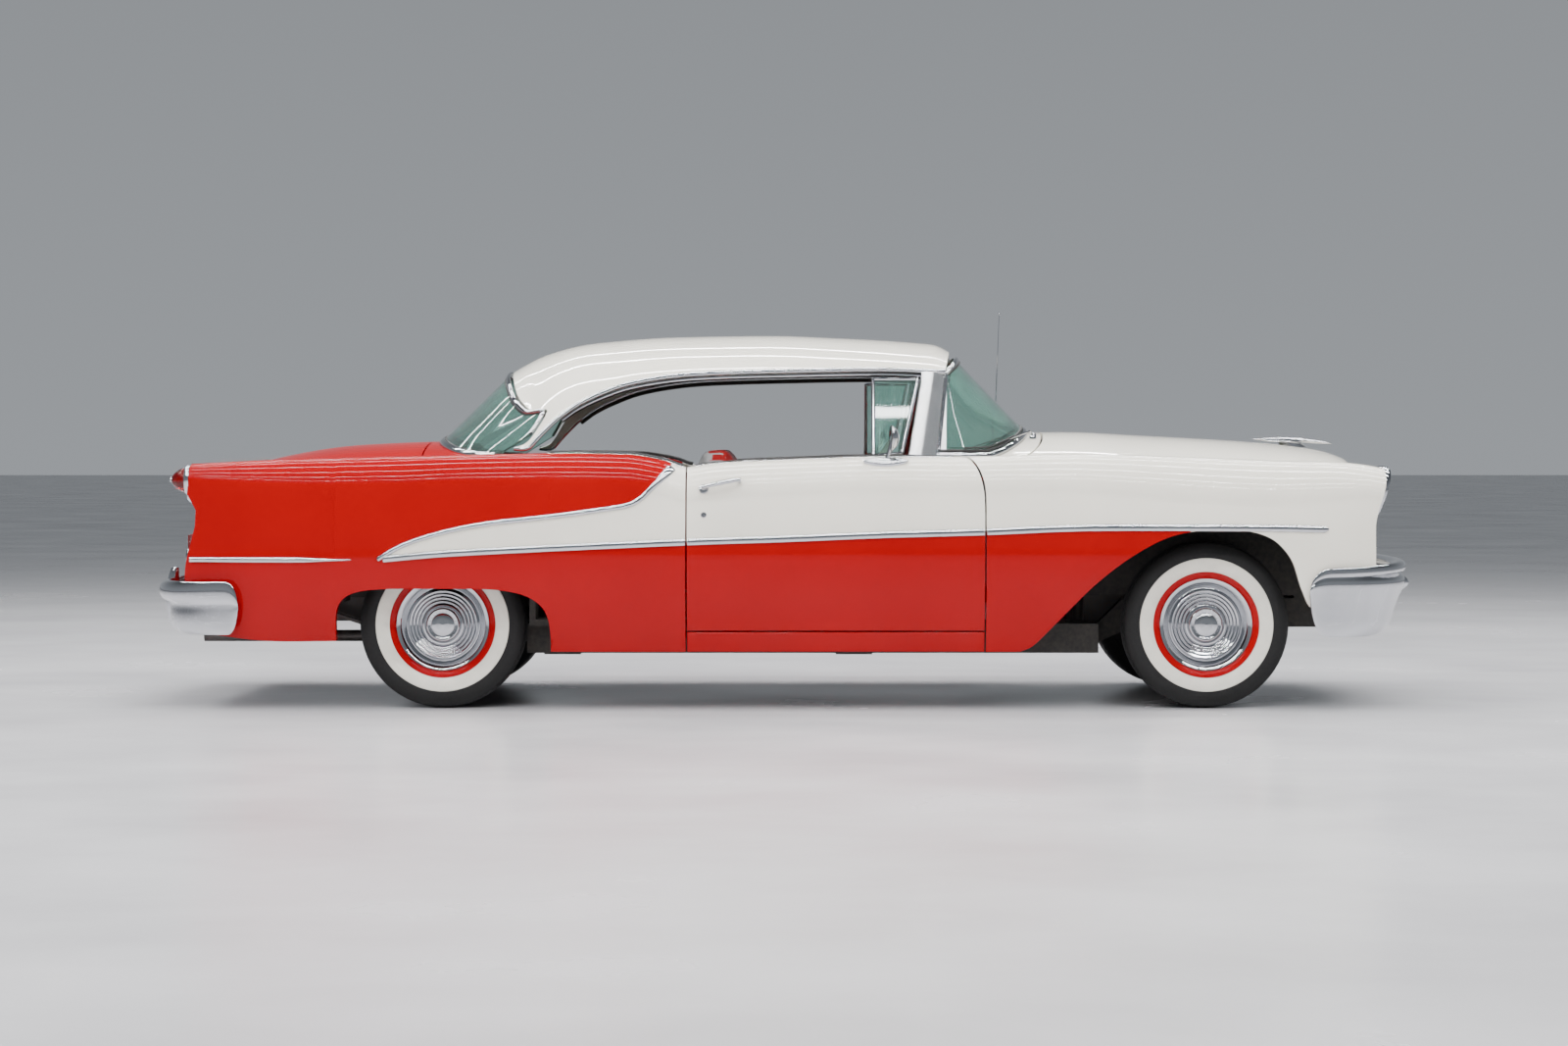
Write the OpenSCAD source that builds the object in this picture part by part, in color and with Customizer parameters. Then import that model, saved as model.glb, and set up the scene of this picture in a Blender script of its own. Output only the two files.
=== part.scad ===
// 1950s two-door hardtop car.
// Frame: +X forward, +Y left, +Z up. The origin is on the floor at the middle of the length and width.
// The right side is modelled and mirrored to the left. All sizes are millimetres.

/* [Overall] */
// Front axle to rear axle
wheelbase = 3099; // [3000:1:3800]
// Front axle to the front of the bumper
front_overhang = 870; // [840:1:1050]
// Rear axle to the rear of the bumper
rear_overhang = 1197; // [1100:1:1450]
// Width over the painted body sides
body_w = 1976; // [1900:1:2400]
// Floor to the top of the roof
roof_h = 1530; // [1400:1:1840]
// Height of the belt line under the windows
belt_z = 1020; // [1000:1:1060]
// Lower edge of the body sides
sill_z = 236; // [226:1:245]

/* [Wheels and steering] */
// Distance between the front wheel centres
front_track = 1499; // [1460:1:1560]
// Distance between the rear wheel centres
rear_track = 1473; // [1460:1:1560]
// Tyre outer radius
tyre_r = 340; // [300:1:400]
// Tyre section width
tyre_w = 195; // [170:1:200]
// Wheel rim radius at the bead
rim_r = 190; // [180:1:200]
// Wheel centre to the kingpin
kingpin_offset = 90; // [85:1:110]
// Radius of the front spindle and of the rear axle shaft
spindle_r = 24; // [18:1:30]
// Radial running clearance of shafts and pins
running = 0.05; // [0.02:0.01:0.1]
// Steering arm length behind the kingpin
steering_arm = 120; // [100:1:125]

/* [Doors and panels] */
// Length of a door
door_len = 1205; // [950:1:1450]
// Lower edge of the doors
door_bottom_z = 322; // [318:1:380]
// Gap between neighbouring panels
panel_gap = 6; // [5:0.5:10]
// Thickness of the cabin walls and doors, at the belt
wall_t = 46; // [40:1:60]
// Thickness of fenders and rear quarters away from the cabin
panel_t = 30; // [20:1:40]
// Thickness of the roof with its lining
roof_t = 36; // [25:1:50]
// Thickness of the hood and of the trunk lid
lid_t = 28; // [20:1:40]
// Thickness of the glass
glass_t = 8; // [5:0.5:12]
// Half width of the hood
hood_half = 640; // [580:1:680]
// Half width of the trunk lid
lid_half = 650; // [560:1:680]

/* [Cabin] */
// Steering wheel radius
steering_wheel_r = 215; // [180:1:230]
// Steering column slope below the horizontal, degrees
column_slope = 32; // [25:1:38]
// Thickness of the floor
floor_t = 25; // [15:1:40]

/* [Underbody] */
// Underside of the frame under the cabin
frame_bottom_z = 215; // [205:1:240]
// Depth of the frame side rails
rail_h = 120; // [100:1:125]
// Width of the frame side rails
rail_w = 70; // [60:1:80]
// Height of the mounting face of each lift pad below its rail
lift_pad_drop = 6; // [3:1:10]
// Spacing of the number plate bolts across the car
plate_bolt_y = 178; // [150:1:200]
// Radius of each number plate bolt hole
plate_bolt_r = 3.5; // [3:0.5:5]
// Radius of the tie-down holes in the frame tabs
tie_down_r = 12; // [9:0.5:15]
// Thickness of the tie-down tabs
tie_down_t = 20; // [14:1:24]

/* [Hidden] */
$fn = 48;

RED = [0.76, 0.03, 0.03];
IVORY = [0.93, 0.91, 0.86];
CHROME = [0.82, 0.83, 0.85];
BLACK = [0.05, 0.05, 0.05];
STEEL = [0.35, 0.36, 0.38];
GLASS = [0.55, 0.66, 0.64, 0.4];
GREY_TRIM = [0.45, 0.44, 0.43];

// Main stations along the car
x_front = (wheelbase + front_overhang + rear_overhang) / 2;
x_rear = -x_front;
xf = x_front - front_overhang;
xr = xf - wheelbase;
hw = body_w / 2;
gh = roof_h - belt_z;

door_front = xf - 905;
door_rear = door_front - door_len;
firewall_x = xf - 833;
fender_front = xf + 723;
tail_x = x_rear + 175;
seatback_x = xr + 436;
glass_half = hw - 188;
inner_half = glass_half;
hood_nose = xf + 690;
lid_front = xr - 99;
lid_back = x_rear + 150;

// ---------- curves ----------
function mix(a, b, t) = a + (b - a) * t;
function clamp01(t) = min(max(t, 0), 1);
function smooth(t) = let (c = clamp01(t)) c * c * (3 - 2 * c);
function pw(b, e) = pow(max(b, 0), e);
function steps(a, b, n) = [for (i = [0:n]) mix(a, b, i / n)];

// Smooth curve through points [[x, y], ...] in rising x, flat beyond its ends
function slope_at(p, i) = let (a = max(i - 1, 0), b = min(i + 1, len(p) - 1))
    (p[b][1] - p[a][1]) / (p[b][0] - p[a][0]);
function span_of(p, x, i = 0) = (i >= len(p) - 2 || x < p[i + 1][0]) ? i : span_of(p, x, i + 1);
function curve_at(p, x) = let (
    xc = min(max(x, p[0][0]), p[len(p) - 1][0]),
    i = span_of(p, xc),
    h = p[i + 1][0] - p[i][0],
    t = (xc - p[i][0]) / h,
    t2 = t * t,
    t3 = t2 * t)
    p[i][1] * (2 * t3 - 3 * t2 + 1) + slope_at(p, i) * h * (t3 - 2 * t2 + t)
    + p[i + 1][1] * (3 * t2 - 2 * t3) + slope_at(p, i + 1) * h * (t3 - t2);

// Height of the crown of the body sides along the car
crown_pts = [
    [tail_x, belt_z - 27], [xr - 600, belt_z - 7], [xr - 130, belt_z + 5], [xr + 430, belt_z + 15],
    [door_rear - 240, belt_z + 11], [door_rear - 160, belt_z + 1], [door_rear - 80, belt_z - 16],
    [door_rear - 20, belt_z - 37], [door_rear + 30, belt_z - 38], [door_rear + 90, belt_z - 28],
    [door_rear + 240, belt_z - 17], [door_rear + 450, belt_z - 9], [door_front - 470, belt_z + 1],
    [door_front, belt_z + 2], [door_front + 200, belt_z + 9], [xf - 520, belt_z + 14],
    [xf - 120, belt_z + 3], [xf + 280, belt_z - 13], [xf + 540, belt_z - 20],
    [xf + 660, belt_z - 33], [fender_front, belt_z - 46]];
function crown_z(x) = curve_at(crown_pts, x);

// Half width of the body at its widest, along the car
half_pts = [
    [x_rear + 150, hw - 74], [xr - 700, hw - 28], [xr - 200, hw - 6], [xr + 300, hw - 2],
    [door_rear, hw - 3], [door_front, hw - 4], [xf - 300, hw - 2], [xf + 100, hw - 4],
    [xf + 450, hw - 22], [fender_front, hw - 62]];
function half_y(x) = curve_at(half_pts, x);

// Width and height of the rounded shoulder
shoulder_w_pts = [[tail_x, 75], [xr - 500, 118], [xr + 300, 112], [door_front, 112],
    [xf - 500, 128], [xf + 200, 150], [fender_front, 120]];
shoulder_h_pts = [[tail_x, 75], [xr - 500, 140], [xr + 300, 150], [door_front, 150],
    [xf + 200, 185], [fender_front, 130]];
function shoulder_w(x) = curve_at(shoulder_w_pts, x);
function shoulder_h(x) = curve_at(shoulder_h_pts, x);

waist_z = 640;
under_w = 62;
tumble_w = 24;
// Outer half width of the body side at (x, z), up to the start of the shoulder
function side_y(x, z) = let (top = crown_z(x) - shoulder_h(x))
    half_y(x)
    - (z < waist_z ? under_w * pow((waist_z - z) / (waist_z - sill_z), 2)
        : tumble_w * pow((z - waist_z) / (top - waist_z), 2));
function crown_y(x) = half_y(x) - tumble_w - shoulder_w(x);

// ---------- lofted shells ----------
// Triangles between two rows of a grid of points, by index; flip turns the surface over
function quad_tris(a, b, c, d, flip) = flip ? [[a, c, b], [a, d, c]] : [[a, b, c], [a, c, d]];
function grid_tris(nu, nv, base, flip) = [for (i = [0:nu - 2], j = [0:nv - 2])
    each quad_tris(base + i * nv + j, base + (i + 1) * nv + j,
        base + (i + 1) * nv + j + 1, base + i * nv + j + 1, flip)];
function rim_tris(ring, off, flip) = [for (k = [0:len(ring) - 1])
    let (a = ring[k], b = ring[(k + 1) % len(ring)])
    each quad_tris(a, b, b + off, a + off, flip)];
function grid_ring(nu, nv) = concat(
    [for (i = [0:nu - 1]) i * nv], [for (j = [1:nv - 1]) (nu - 1) * nv + j],
    [for (i = [nu - 2:-1:0]) i * nv + nv - 1], [for (j = [nv - 2:-1:1]) j]);

// A closed solid between an outer and an inner grid of the same size
module shell(outer, inner, flip = false) {
    nu = len(outer);
    nv = len(outer[0]);
    points = concat([for (r = outer) each r], [for (r = inner) each r]);
    polyhedron(points, concat(
        grid_tris(nu, nv, 0, !flip), grid_tris(nu, nv, nu * nv, flip),
        rim_tris(grid_ring(nu, nv), nu * nv, flip)));
}

// A closed solid through rings of the same even number of points; point k faces point n - 1 - k
module ring_loft(rings, flip = false) {
    n = len(rings[0]);
    m = len(rings);
    o = (m - 1) * n;
    cap_a = [for (k = [0:n / 2 - 2]) each quad_tris(k, k + 1, n - 2 - k, n - 1 - k, flip)];
    cap_b = [for (k = [0:n / 2 - 2]) each quad_tris(o + k, o + k + 1, o + n - 2 - k, o + n - 1 - k, !flip)];
    sides = [for (i = [0:m - 2], k = [0:n - 1]) let (k2 = (k + 1) % n)
        each quad_tris(i * n + k, (i + 1) * n + k, (i + 1) * n + k2, i * n + k2, flip)];
    polyhedron([for (r = rings) each r], concat(cap_a, cap_b, sides));
}

module both_sides() {
    children();
    mirror([0, 1, 0]) children();
}

// A side-view outline [[x, z], ...] as a plate from y0 to y1
module side_plate(outline, y0, y1) {
    translate([0, y1, 0]) rotate([90, 0, 0]) linear_extrude(y1 - y0) polygon(outline);
}
// A front-view outline [[y, z], ...] as a plate from x0 to x1
module front_plate(outline, x0, x1) {
    translate([x0, 0, 0]) rotate([90, 0, 90]) linear_extrude(x1 - x0) polygon(outline);
}
module block(x, y, z) {
    translate([x[0], y[0], z[0]]) cube([x[1] - x[0], y[1] - y[0], z[1] - z[0]]);
}
module rod_y(x, z, r, y0, y1) {
    translate([x, y1, z]) rotate([90, 0, 0]) cylinder(h = y1 - y0, r = r);
}
module rod_x(y, z, r, x0, x1) {
    translate([x0, y, z]) rotate([0, 90, 0]) cylinder(h = x1 - x0, r = r);
}
// A straight round bar between two points
module bar(a, b, r) {
    d = b - a;
    translate(a) rotate([0, acos(d[2] / norm(d)), atan2(d[1], d[0])]) cylinder(h = norm(d), r = r);
}

// ---------- body sides (right side, y negative) ----------
// One column of the outer surface: the side from z_lo to the shoulder, the shoulder, then the inboard top
side_rows = 5;
shoulder_rows = 4;
// edge is how far inboard the top reaches; edge_z is its height there
function side_column(x, z_lo, edge_y, edge_z) = let (
    zs = crown_z(x) - shoulder_h(x), ys = side_y(x, zs), w = shoulder_w(x), h = shoulder_h(x))
    concat(
        [for (z = steps(z_lo, zs, side_rows)) [x, -side_y(x, z), z]],
        [for (i = [1:shoulder_rows]) let (a = 90 * i / shoulder_rows)
            [x, -(ys - w * (1 - cos(a))), zs + h * sin(a)]],
        [[x, -edge_y, edge_z]]);
// The same column set in by t
function side_column_in(x, z_lo, edge_y, edge_z, t) = let (
    zs = crown_z(x) - shoulder_h(x), ys = side_y(x, zs), w = shoulder_w(x), h = shoulder_h(x))
    concat(
        [for (z = steps(z_lo, zs, side_rows)) [x, -(side_y(x, z) - t), z]],
        [for (i = [1:shoulder_rows]) let (a = 90 * i / shoulder_rows)
            [x, -(ys - t - (w - t) * (1 - cos(a))), zs + (h - t) * sin(a)]],
        [[x, -edge_y, edge_z - t]]);
// Moves the points near one end of a panel so that the end follows a curve in z
function bend_end(grid, x_end, reach, shift) = [for (col = grid) [for (p = col)
    [p[0] + shift(p[2]) * pow(clamp01(1 - abs(p[0] - x_end) / reach), 1.5), p[1], p[2]]]];

// Upper front corner of the door opening: how far back the edge leans at height z
corner_a = 84;
corner_b = 190;
corner_z = belt_z - 2 - corner_b;
door_corner = function (z) -corner_a * (1 - sqrt(1 - pow(clamp01((z - corner_z) / corner_b), 2)));
// The fender's side of that corner, set off so that the gap stays open round the bend
fender_corner = function (z) 2.5 * clamp01((z - corner_z) / 80) + max(-corner_a, -(corner_a + 8.5)
    * (1 - sqrt(1 - pow(clamp01((z - corner_z) / (corner_b + 8.5)), 2))));
// Rear outline of the quarters
tail_pts = [[sill_z, 30], [520, -9], [590, -5], [690, 19], [790, 39], [830, 20], [850, 0], [belt_z, 8]];
tail_edge = function (z) curve_at(tail_pts, z);

// Front wheel arch and lower edge of the front fender
fender_low_pts = [
    [xf - 761, sill_z], [xf - 710, sill_z + 23], [xf - 612, 357], [xf - 455, 514], [xf - 297, 632],
    [xf - 140, 707], [xf + 60, 729], [xf + 180, 717], [xf + 253, 688], [xf + 300, 645], [xf + 335, 590],
    [xf + 368, 490], [xf + 412, 416], [xf + 436, 520], [xf + 456, 598], [xf + 480, 609], [xf + 540, 610],
    [fender_front, 611]];
function fender_low(x) = x < xf - 761 ? sill_z : curve_at(fender_low_pts, x);
fender_xs = concat(steps(door_front + panel_gap, xf - 761, 5), steps(xf - 710, xf - 140, 7), [xf - 20,
    xf + 100],
    steps(xf + 180, xf + 335, 4), [xf + 368, xf + 412, xf + 436, xf + 456, xf + 480, xf + 540, xf + 610,
        xf + 670, fender_front]);

// Rear wheel arch: a rounded opening, squarer at its back
arch_x = xr + 13;
arch_a = 433;
arch_top = 492;
function arch_n(s) = s < 0 ? 5.2 : 3.8;
arch_angles = [-90, -84, -76, -64, -46, -20, 10, 30, 48, 60, 70, 79, 85, 90];
function arch_station(a) = let (s = sign(a)) arch_x + s * arch_a * pw(sin(abs(a)), 2 / arch_n(s));
function quarter_low(x) = x <= arch_x - arch_a ? curve_at([[tail_x, 314], [xr - 700, 279],
    [arch_x - arch_a, 279]], x)
    : x >= arch_x + arch_a ? sill_z
    : let (d = (x - arch_x) / arch_a, n = arch_n(sign(d)), base = d < 0 ? 279 : sill_z)
        base + (arch_top - base) * pw(1 - pw(abs(d), n), 1 / n);
quarter_xs = concat(
    [tail_x, tail_x + 50, tail_x + 120, tail_x + 220, xr - 760, xr - 620, xr - 500],
    [for (a = arch_angles) if (a < 20) arch_station(a)], [xr + 286],
    [for (a = arch_angles) if (a > 20) arch_station(a)],
    steps(arch_x + arch_a + 12, door_rear - 260, 4), steps(door_rear - 200, door_rear, 5));

// Outline of the cowl: where the fender tops and the hood end behind
cowl_back = xf - 1122;
cowl_len = 493;
cowl_half = 755;
function cowl_edge_y(x) = cowl_half * pw(1 - pw(clamp01((x - cowl_back) / cowl_len), 1 / 0.3), 0.25);
function cowl_edge_x(y) = cowl_back + cowl_len * pw(1 - pow(min(abs(y) / cowl_half, 1), 4), 0.3);

// Tops of the hood, the cowl and the fenders
hood_pts = [
    [door_front, 96], [xf - 640, 104], [xf - 455, 104], [xf - 246, 93], [xf + 173, 70], [xf + 383, 53],
        [xf + 509, 37],
    [xf + 572, 24], [xf + 626, 3], [hood_nose, -30]];
function hood_centre_z(x) = belt_z + curve_at(hood_pts, x);
function hood_edge_z(x) = crown_z(x) - 8;
function top_z(x, y) = let (s = abs(y) / hood_half) s < 1
    ? mix(hood_edge_z(x), hood_centre_z(x), 1 - pow(s, 2.4))
    : mix(hood_edge_z(x), crown_z(x), clamp01((abs(y) - hood_half) / (crown_y(x) - hood_half)));
function fender_edge_y(x) = max(hood_half, cowl_edge_y(x)) + panel_gap;

// The door wall is flat inside; the quarter wall is too, as far back as the rear seat
function flat_inner(grid, y_in, x_shift) = [for (col = grid) [for (p = col)
    [p[0] + x_shift, -min(y_in, -p[1] - 4), p[2]]]];

module front_fender() {
    function top_x(x) = x - corner_a * pow(clamp01(1 - (x - door_front - panel_gap) / 220), 1.5);
    function edge_y(x) = fender_edge_y(top_x(x)) + 2;
    function t(x) = mix(panel_t, 12, smooth((x - fender_front + 70) / 55));
    outer = [for (x = fender_xs) side_column(x, fender_low(x), edge_y(x), top_z(x, edge_y(x)))];
    inner = [for (x = fender_xs) side_column_in(x, fender_low(x), edge_y(x), top_z(x, edge_y(x)), t(x))];
    shift = fender_corner;
    color(IVORY) {
        shell(bend_end(outer, door_front + panel_gap, 220, shift),
            bend_end(inner, door_front + panel_gap, 220, shift));
        fender_nose();
    }
}

// Front wall of the fender, round the headlamp
lamp_y = hw - 258;
lamp_z = belt_z - 148;
lamp_r = 84;
grille_half = 560;
module fender_nose() {
    x = fender_front - 8;
    section = side_column(x, fender_low(x), hood_half + panel_gap, top_z(x, hood_half + panel_gap));
    difference() {
        front_plate(concat([for (p = section) [p[1] + 4, p[2] - 4]],
            [[-hood_half - panel_gap, 935], [-grille_half - 0.3, 935], [-grille_half - 0.3, 616]]),
            fender_front - 38, fender_front - 8);
        rod_x(-lamp_y, lamp_z, lamp_r + 2, fender_front - 60, fender_front + 10);
    }
}

// Inner face of a flat-walled column: y_in all the way up, ending at top_in
function flat_column(x, z_lo, y_in, top_in) = let (zs = crown_z(x) - shoulder_h(x))
    concat([for (z = steps(z_lo, zs, side_rows)) [x, -y_in, z]],
        [for (i = [1:shoulder_rows + 1]) [x, -y_in, mix(zs, top_in, i / (shoulder_rows + 1))]]);

// ---------- rear deck, trunk lid and quarters ----------
deck_pts = [[x_rear + 130, 60], [x_rear + 260, -35], [x_rear + 353, 0], [x_rear + 487, 35], [xr - 501, 51],
    [xr - 291, 60], [lid_front, 64], [xr + 400, 66]];
glass_base_x = xr + 286;
glass_base_len = 355;
function edge_share(x) = clamp01((x - lid_front) / (glass_base_x - lid_front));
function quarter_edge_y(x) = mix(lid_half, inner_half - panel_gap, edge_share(x)) + panel_gap;

// Path of the trunk lid along its middle: top, then down the back
lid_path = [[lid_front - panel_gap - 4, belt_z + 64], [xr - 291, belt_z + 57], [xr - 501, belt_z + 42],
    [x_rear + 487, belt_z + 6], [x_rear + 370, belt_z - 28], [x_rear + 280, belt_z - 70],
    [x_rear + 222, belt_z - 132], [x_rear + 194, belt_z - 215], [x_rear + 187, belt_z - 320],
    [x_rear + 190, belt_z - 420]];
lid_drop = [73, 66, 58, 45, 34, 26, 20, 16, 14, 12];
function lid_normal(i) = let (a = lid_path[max(i - 1, 0)], b = lid_path[min(i + 1, len(lid_path) - 1)],
    d = b - a) [d[1], -d[0]] / norm(d);
function lid_point(i, s, t) = let (n = lid_normal(i), k = -(lid_drop[i] * pow(abs(s), 2.4)) - t)
    [lid_path[i][0] + n[0] * k, s * lid_half, lid_path[i][1] + n[1] * k];
cross = [-1, -0.93, -0.82, -0.66, -0.45, -0.22, 0, 0.22, 0.45, 0.66, 0.82, 0.93, 1];
lid_edge_pts = [for (i = [len(lid_path) - 3:-1:0]) let (p = lid_point(i, 1, 0)) [p[0], p[2]]];
function quarter_edge_z(x) = x < lid_front - panel_gap ? curve_at(lid_edge_pts, x) : crown_z(x) - 8;
quarter_in = panel_t + 20;

module quarter_panel() {
    xs = quarter_xs;
    outer = [for (x = xs) side_column(x, quarter_low(x), quarter_edge_y(x), quarter_edge_z(x))];
    thin = [for (x = xs) side_column_in(x, quarter_low(x), quarter_edge_y(x), quarter_edge_z(x),
        quarter_in)];
    flat = [for (x = xs) flat_column(x, quarter_low(x), inner_half, crown_z(x) - 40)];
    inner = [for (i = [0:len(xs) - 1]) let (k = smooth((xs[i] - seatback_x - 10) / 70))
        [for (j = [0:len(thin[i]) - 1]) mix(thin[i][j], flat[i][j], k)]];
    color(RED) shell(bend_end(outer, tail_x, 260, tail_edge), bend_end(inner, tail_x, 260, tail_edge));
}

deck_v = [-1, -0.94, -0.86, -0.74, -0.58, -0.4, -0.2, 0, 0.2, 0.4, 0.58, 0.74, 0.86, 0.94, 1];
base_v = [for (v = deck_v) v * 0.968];
function base_xy(v) = [glass_base_x - glass_base_len * pw(1 - pow(abs(v), 3), 0.6), (inner_half - 1) * v];
function deck_z(x, y) = let (h = quarter_edge_y(x), s = min(abs(y) / h, 1), e = crown_z(x) - 10)
    mix(belt_z + curve_at(deck_pts, x), e, pow(s, 2.4));
module rear_deck() {
    grid = [for (v = deck_v) let (a = base_xy(v), b = [lid_front, v * (lid_half + panel_gap - 0.3)])
        [for (t = steps(0, 1, 6)) let (p = mix(a, b, t)) [p[0], p[1], deck_z(p[0], p[1])]]];
    under = [for (r = grid) [for (p = r) p - [0, 0, 22]]];
    color(RED) {
        shell(grid, under);
        block([lid_front + 2, seatback_x - 70], [-lid_half + 14, lid_half - 14], [belt_z - 58,
            belt_z - 36]);
    }
}

module trunk_lid() {
    n = len(lid_path) - 1;
    color(RED) shell([for (i = [0:n]) [for (s = cross) lid_point(i, s, 0)]],
        [for (i = [0:n]) [for (s = cross) lid_point(i, s, lid_t)]], true);
}

// Rear end wall between the quarters, under and beside the trunk lid
tail_half = 880;
function tail_wall_x(z) = tail_x + tail_edge(z);
function inside_y(x, z, t) = let (zs = crown_z(x) - shoulder_h(x), h = shoulder_h(x) - t,
    ys = side_y(x, min(z, zs)) - t)
    z < zs ? ys : ys - (shoulder_w(x) - t) * (1 - sqrt(max(1 - pow((z - zs) / h, 2), 0)));
module tail_panel() {
    zs = [300, 360, 430, 500, 560, belt_z - 425];
    outer = [for (z = zs) let (w = inside_y(tail_x, z, quarter_in) - 1.25)
        [for (y = [-1, -0.6, 0, 0.6, 1]) [tail_wall_x(z) + 4, y * w, z]]];
    slope_z = quarter_edge_z(tail_x) - quarter_in - 6;
    top = crown_z(tail_x) - quarter_in - 8;
    side = [for (z = steps(belt_z - 425, top - 12, 7)) let (w = inside_y(tail_x, z, quarter_in) - 1.25,
        v = mix(lid_half + panel_gap, crown_y(tail_x) + 8, clamp01((z - slope_z) / (top - slope_z))))
        [for (y = [-w, -mix(w, v, 0.5), -v]) [tail_wall_x(z) + 4, y, z]]];
    color(RED) {
        difference() {
            shell(outer, [for (r = outer) [for (p = r) p + [24, 0, 0]]]);
            both_sides() block([x_rear, x_rear + 300], [-rear_rail_y - rail_w - 4, -rear_rail_y + 4],
                [rear_rail_z + 6, rear_rail_z + 64]);
        }
        both_sides() shell(side, [for (r = side) [for (p = r) p + [24, 0, 0]]]);
        block([tail_x + 22, tail_x + 44], [-90, 90], [belt_z - 430, belt_z - 420.4]);
    }
}

module door() {
    lo = door_rear + panel_gap;
    xs = concat(steps(lo, lo + 90, 3), steps(lo + 240, door_front - 260, 4), steps(door_front - 180,
        door_front, 5));
    outer = [for (x = xs) side_column(x, door_bottom_z, inner_half, crown_z(x) - 4)];
    flat = [for (x = xs) let (k = clamp01((x - lo) / (door_front - lo)))
        [for (p = flat_column(x, door_bottom_z, inner_half, crown_z(x) - 34)) p + [26 * (1 - k), 0, 0]]];
    color(IVORY) {
        shell(bend_end(outer, door_front, 220, door_corner), bend_end(flat, door_front, 220, door_corner));
    }
}

module rocker_panels() {
    xs = steps(door_rear + panel_gap, door_front - panel_gap + 6, 8);
    hi = door_bottom_z - panel_gap;
    outer = [for (x = xs) concat([for (z = steps(sill_z, hi, 3)) [x, -side_y(x, z), z]], [[x,
        -inner_half, hi]])];
    flat = [for (x = xs) concat([for (z = steps(sill_z, hi - 20, 3)) [x, -inner_half, z]], [[x,
        -inner_half, hi - 10]])];
    color(RED) both_sides() shell(outer, flat);
}

// ---------- hood and cowl ----------
function hood_point(u, s) = let (y = s * hood_half, x = mix(cowl_edge_x(y) + panel_gap,
    hood_nose - 60 * pow(abs(s), 2.2), u))
    [x, y, top_z(x, y) - (u > 0.98 ? 30 : 0)];
module hood() {
    vs = [for (v = cross) v * hood_half];
    us = [0, 0.08, 0.2, 0.4, 0.6, 0.8, 0.88, 0.94, 0.975, 1];
    grid = [for (u = us) [for (v = vs) hood_point(u, v / hood_half)]];
    under = [for (r = grid) [for (p = r) p - [p[0] > hood_nose - 70 ? 22 : 0, 0, lid_t]]];
    color(IVORY) shell(grid, under);
}

// Windshield: base and top curves by t from -1 to 1
ws_back = xf - 1122;
ws_len = 436;
ws_half = 715;
ws_top_half = 600;
function ws_base(t) = let (a = 90 * t) [ws_back + ws_len * pw(cos(a), 0.84), ws_half * sign(a)
    * pw(sin(abs(a)), 0.625)];
function ws_base_z(p) = max(top_z(p[0], p[1]), crown_z(p[0]) + 30);
function ws_point(t, k, d) = let (
    b = ws_base(t),
    bz = top_z(b[0], b[1]) + 1.95,
    q = [xf - 1054 + 62 * pw(cos(90 * t), 0.84), ws_top_half * sign(t) * pw(sin(90 * abs(t)), 0.625)],
    qz = belt_z + mix(344.4, 416, pw(cos(90 * t), 0.9)))
    [mix(b[0], q[0], k) - d * cos(90 * t), mix(b[1], q[1], k) - d * sin(90 * t), mix(bz, qz, k)];
ws_t = [-0.97, -0.9, -0.8, -0.7, -0.6, -0.5, -0.38, -0.25, -0.12, 0, 0.12, 0.25, 0.38, 0.5, 0.6, 0.7,
    0.8, 0.9, 0.97];
module windshield() {
    color(GLASS) shell([for (t = ws_t) [for (k = steps(0, 1, 3)) ws_point(t, k, 0)]],
        [for (t = ws_t) [for (k = steps(0, 1, 3)) ws_point(t, k, glass_t)]]);
}

module cowl() {
    grid = [for (t = ws_t) let (b = ws_base(t), by = b[1], a = atan2(b[1] / cowl_half,
        (b[0] - cowl_back) / cowl_len),
        e = [cowl_edge_x(by * 1.04) - 3, by * 1.04])
        [for (k = [0, 0.35, 0.7, 1]) let (p = mix(b - [20, 0], e, k)) [p[0], p[1], top_z(p[0], p[1])]]];
    under = [for (r = grid) [for (p = r) p - [0, 0, 20]]];
    color(IVORY) shell(grid, under, true);
    color(CHROME)
        both_sides() ring_loft([for (k = steps(0, 1, 3)) let (
            c = [mix(xf - 1183, xf - 1122, k), -mix(766, 633, k), mix(belt_z - 34.7, belt_z + 352.45, k)])
            [c + [-26, 0, 0], c + [-10, -18, 0], c + [18, -16, 0], c + [26, 4, 0], c + [12, 20, 0], c
                + [-18, 20, 0]]]);
    color(BLACK) {
        front_plate([[-698.7, floor_z], [-tunnel_half, floor_z], [-tunnel_half, tunnel_z - floor_t],
            [tunnel_half, tunnel_z - floor_t], [tunnel_half, floor_z], [698.7, floor_z], [698.7,
                belt_z - 24],
            [-698.7, belt_z - 24]],
            firewall_x, firewall_x + 20);
        both_sides() {
            block([door_front + panel_gap, firewall_x + 20], [-floor_half, -699], [floor_z + floor_t
                + 0.3, belt_z - 60]);
            block([xf - 1200, firewall_x - 8], [-floor_half + 4, -745], [belt_z - 80, belt_z - 35]);
            for (z = [door_bottom_z + 110, belt_z - 230])
                block([door_front + 0.3, door_front + 40], [-inner_half - 58, -inner_half + 20], [z,
                    z + 60]);
        }
    }
}

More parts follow.
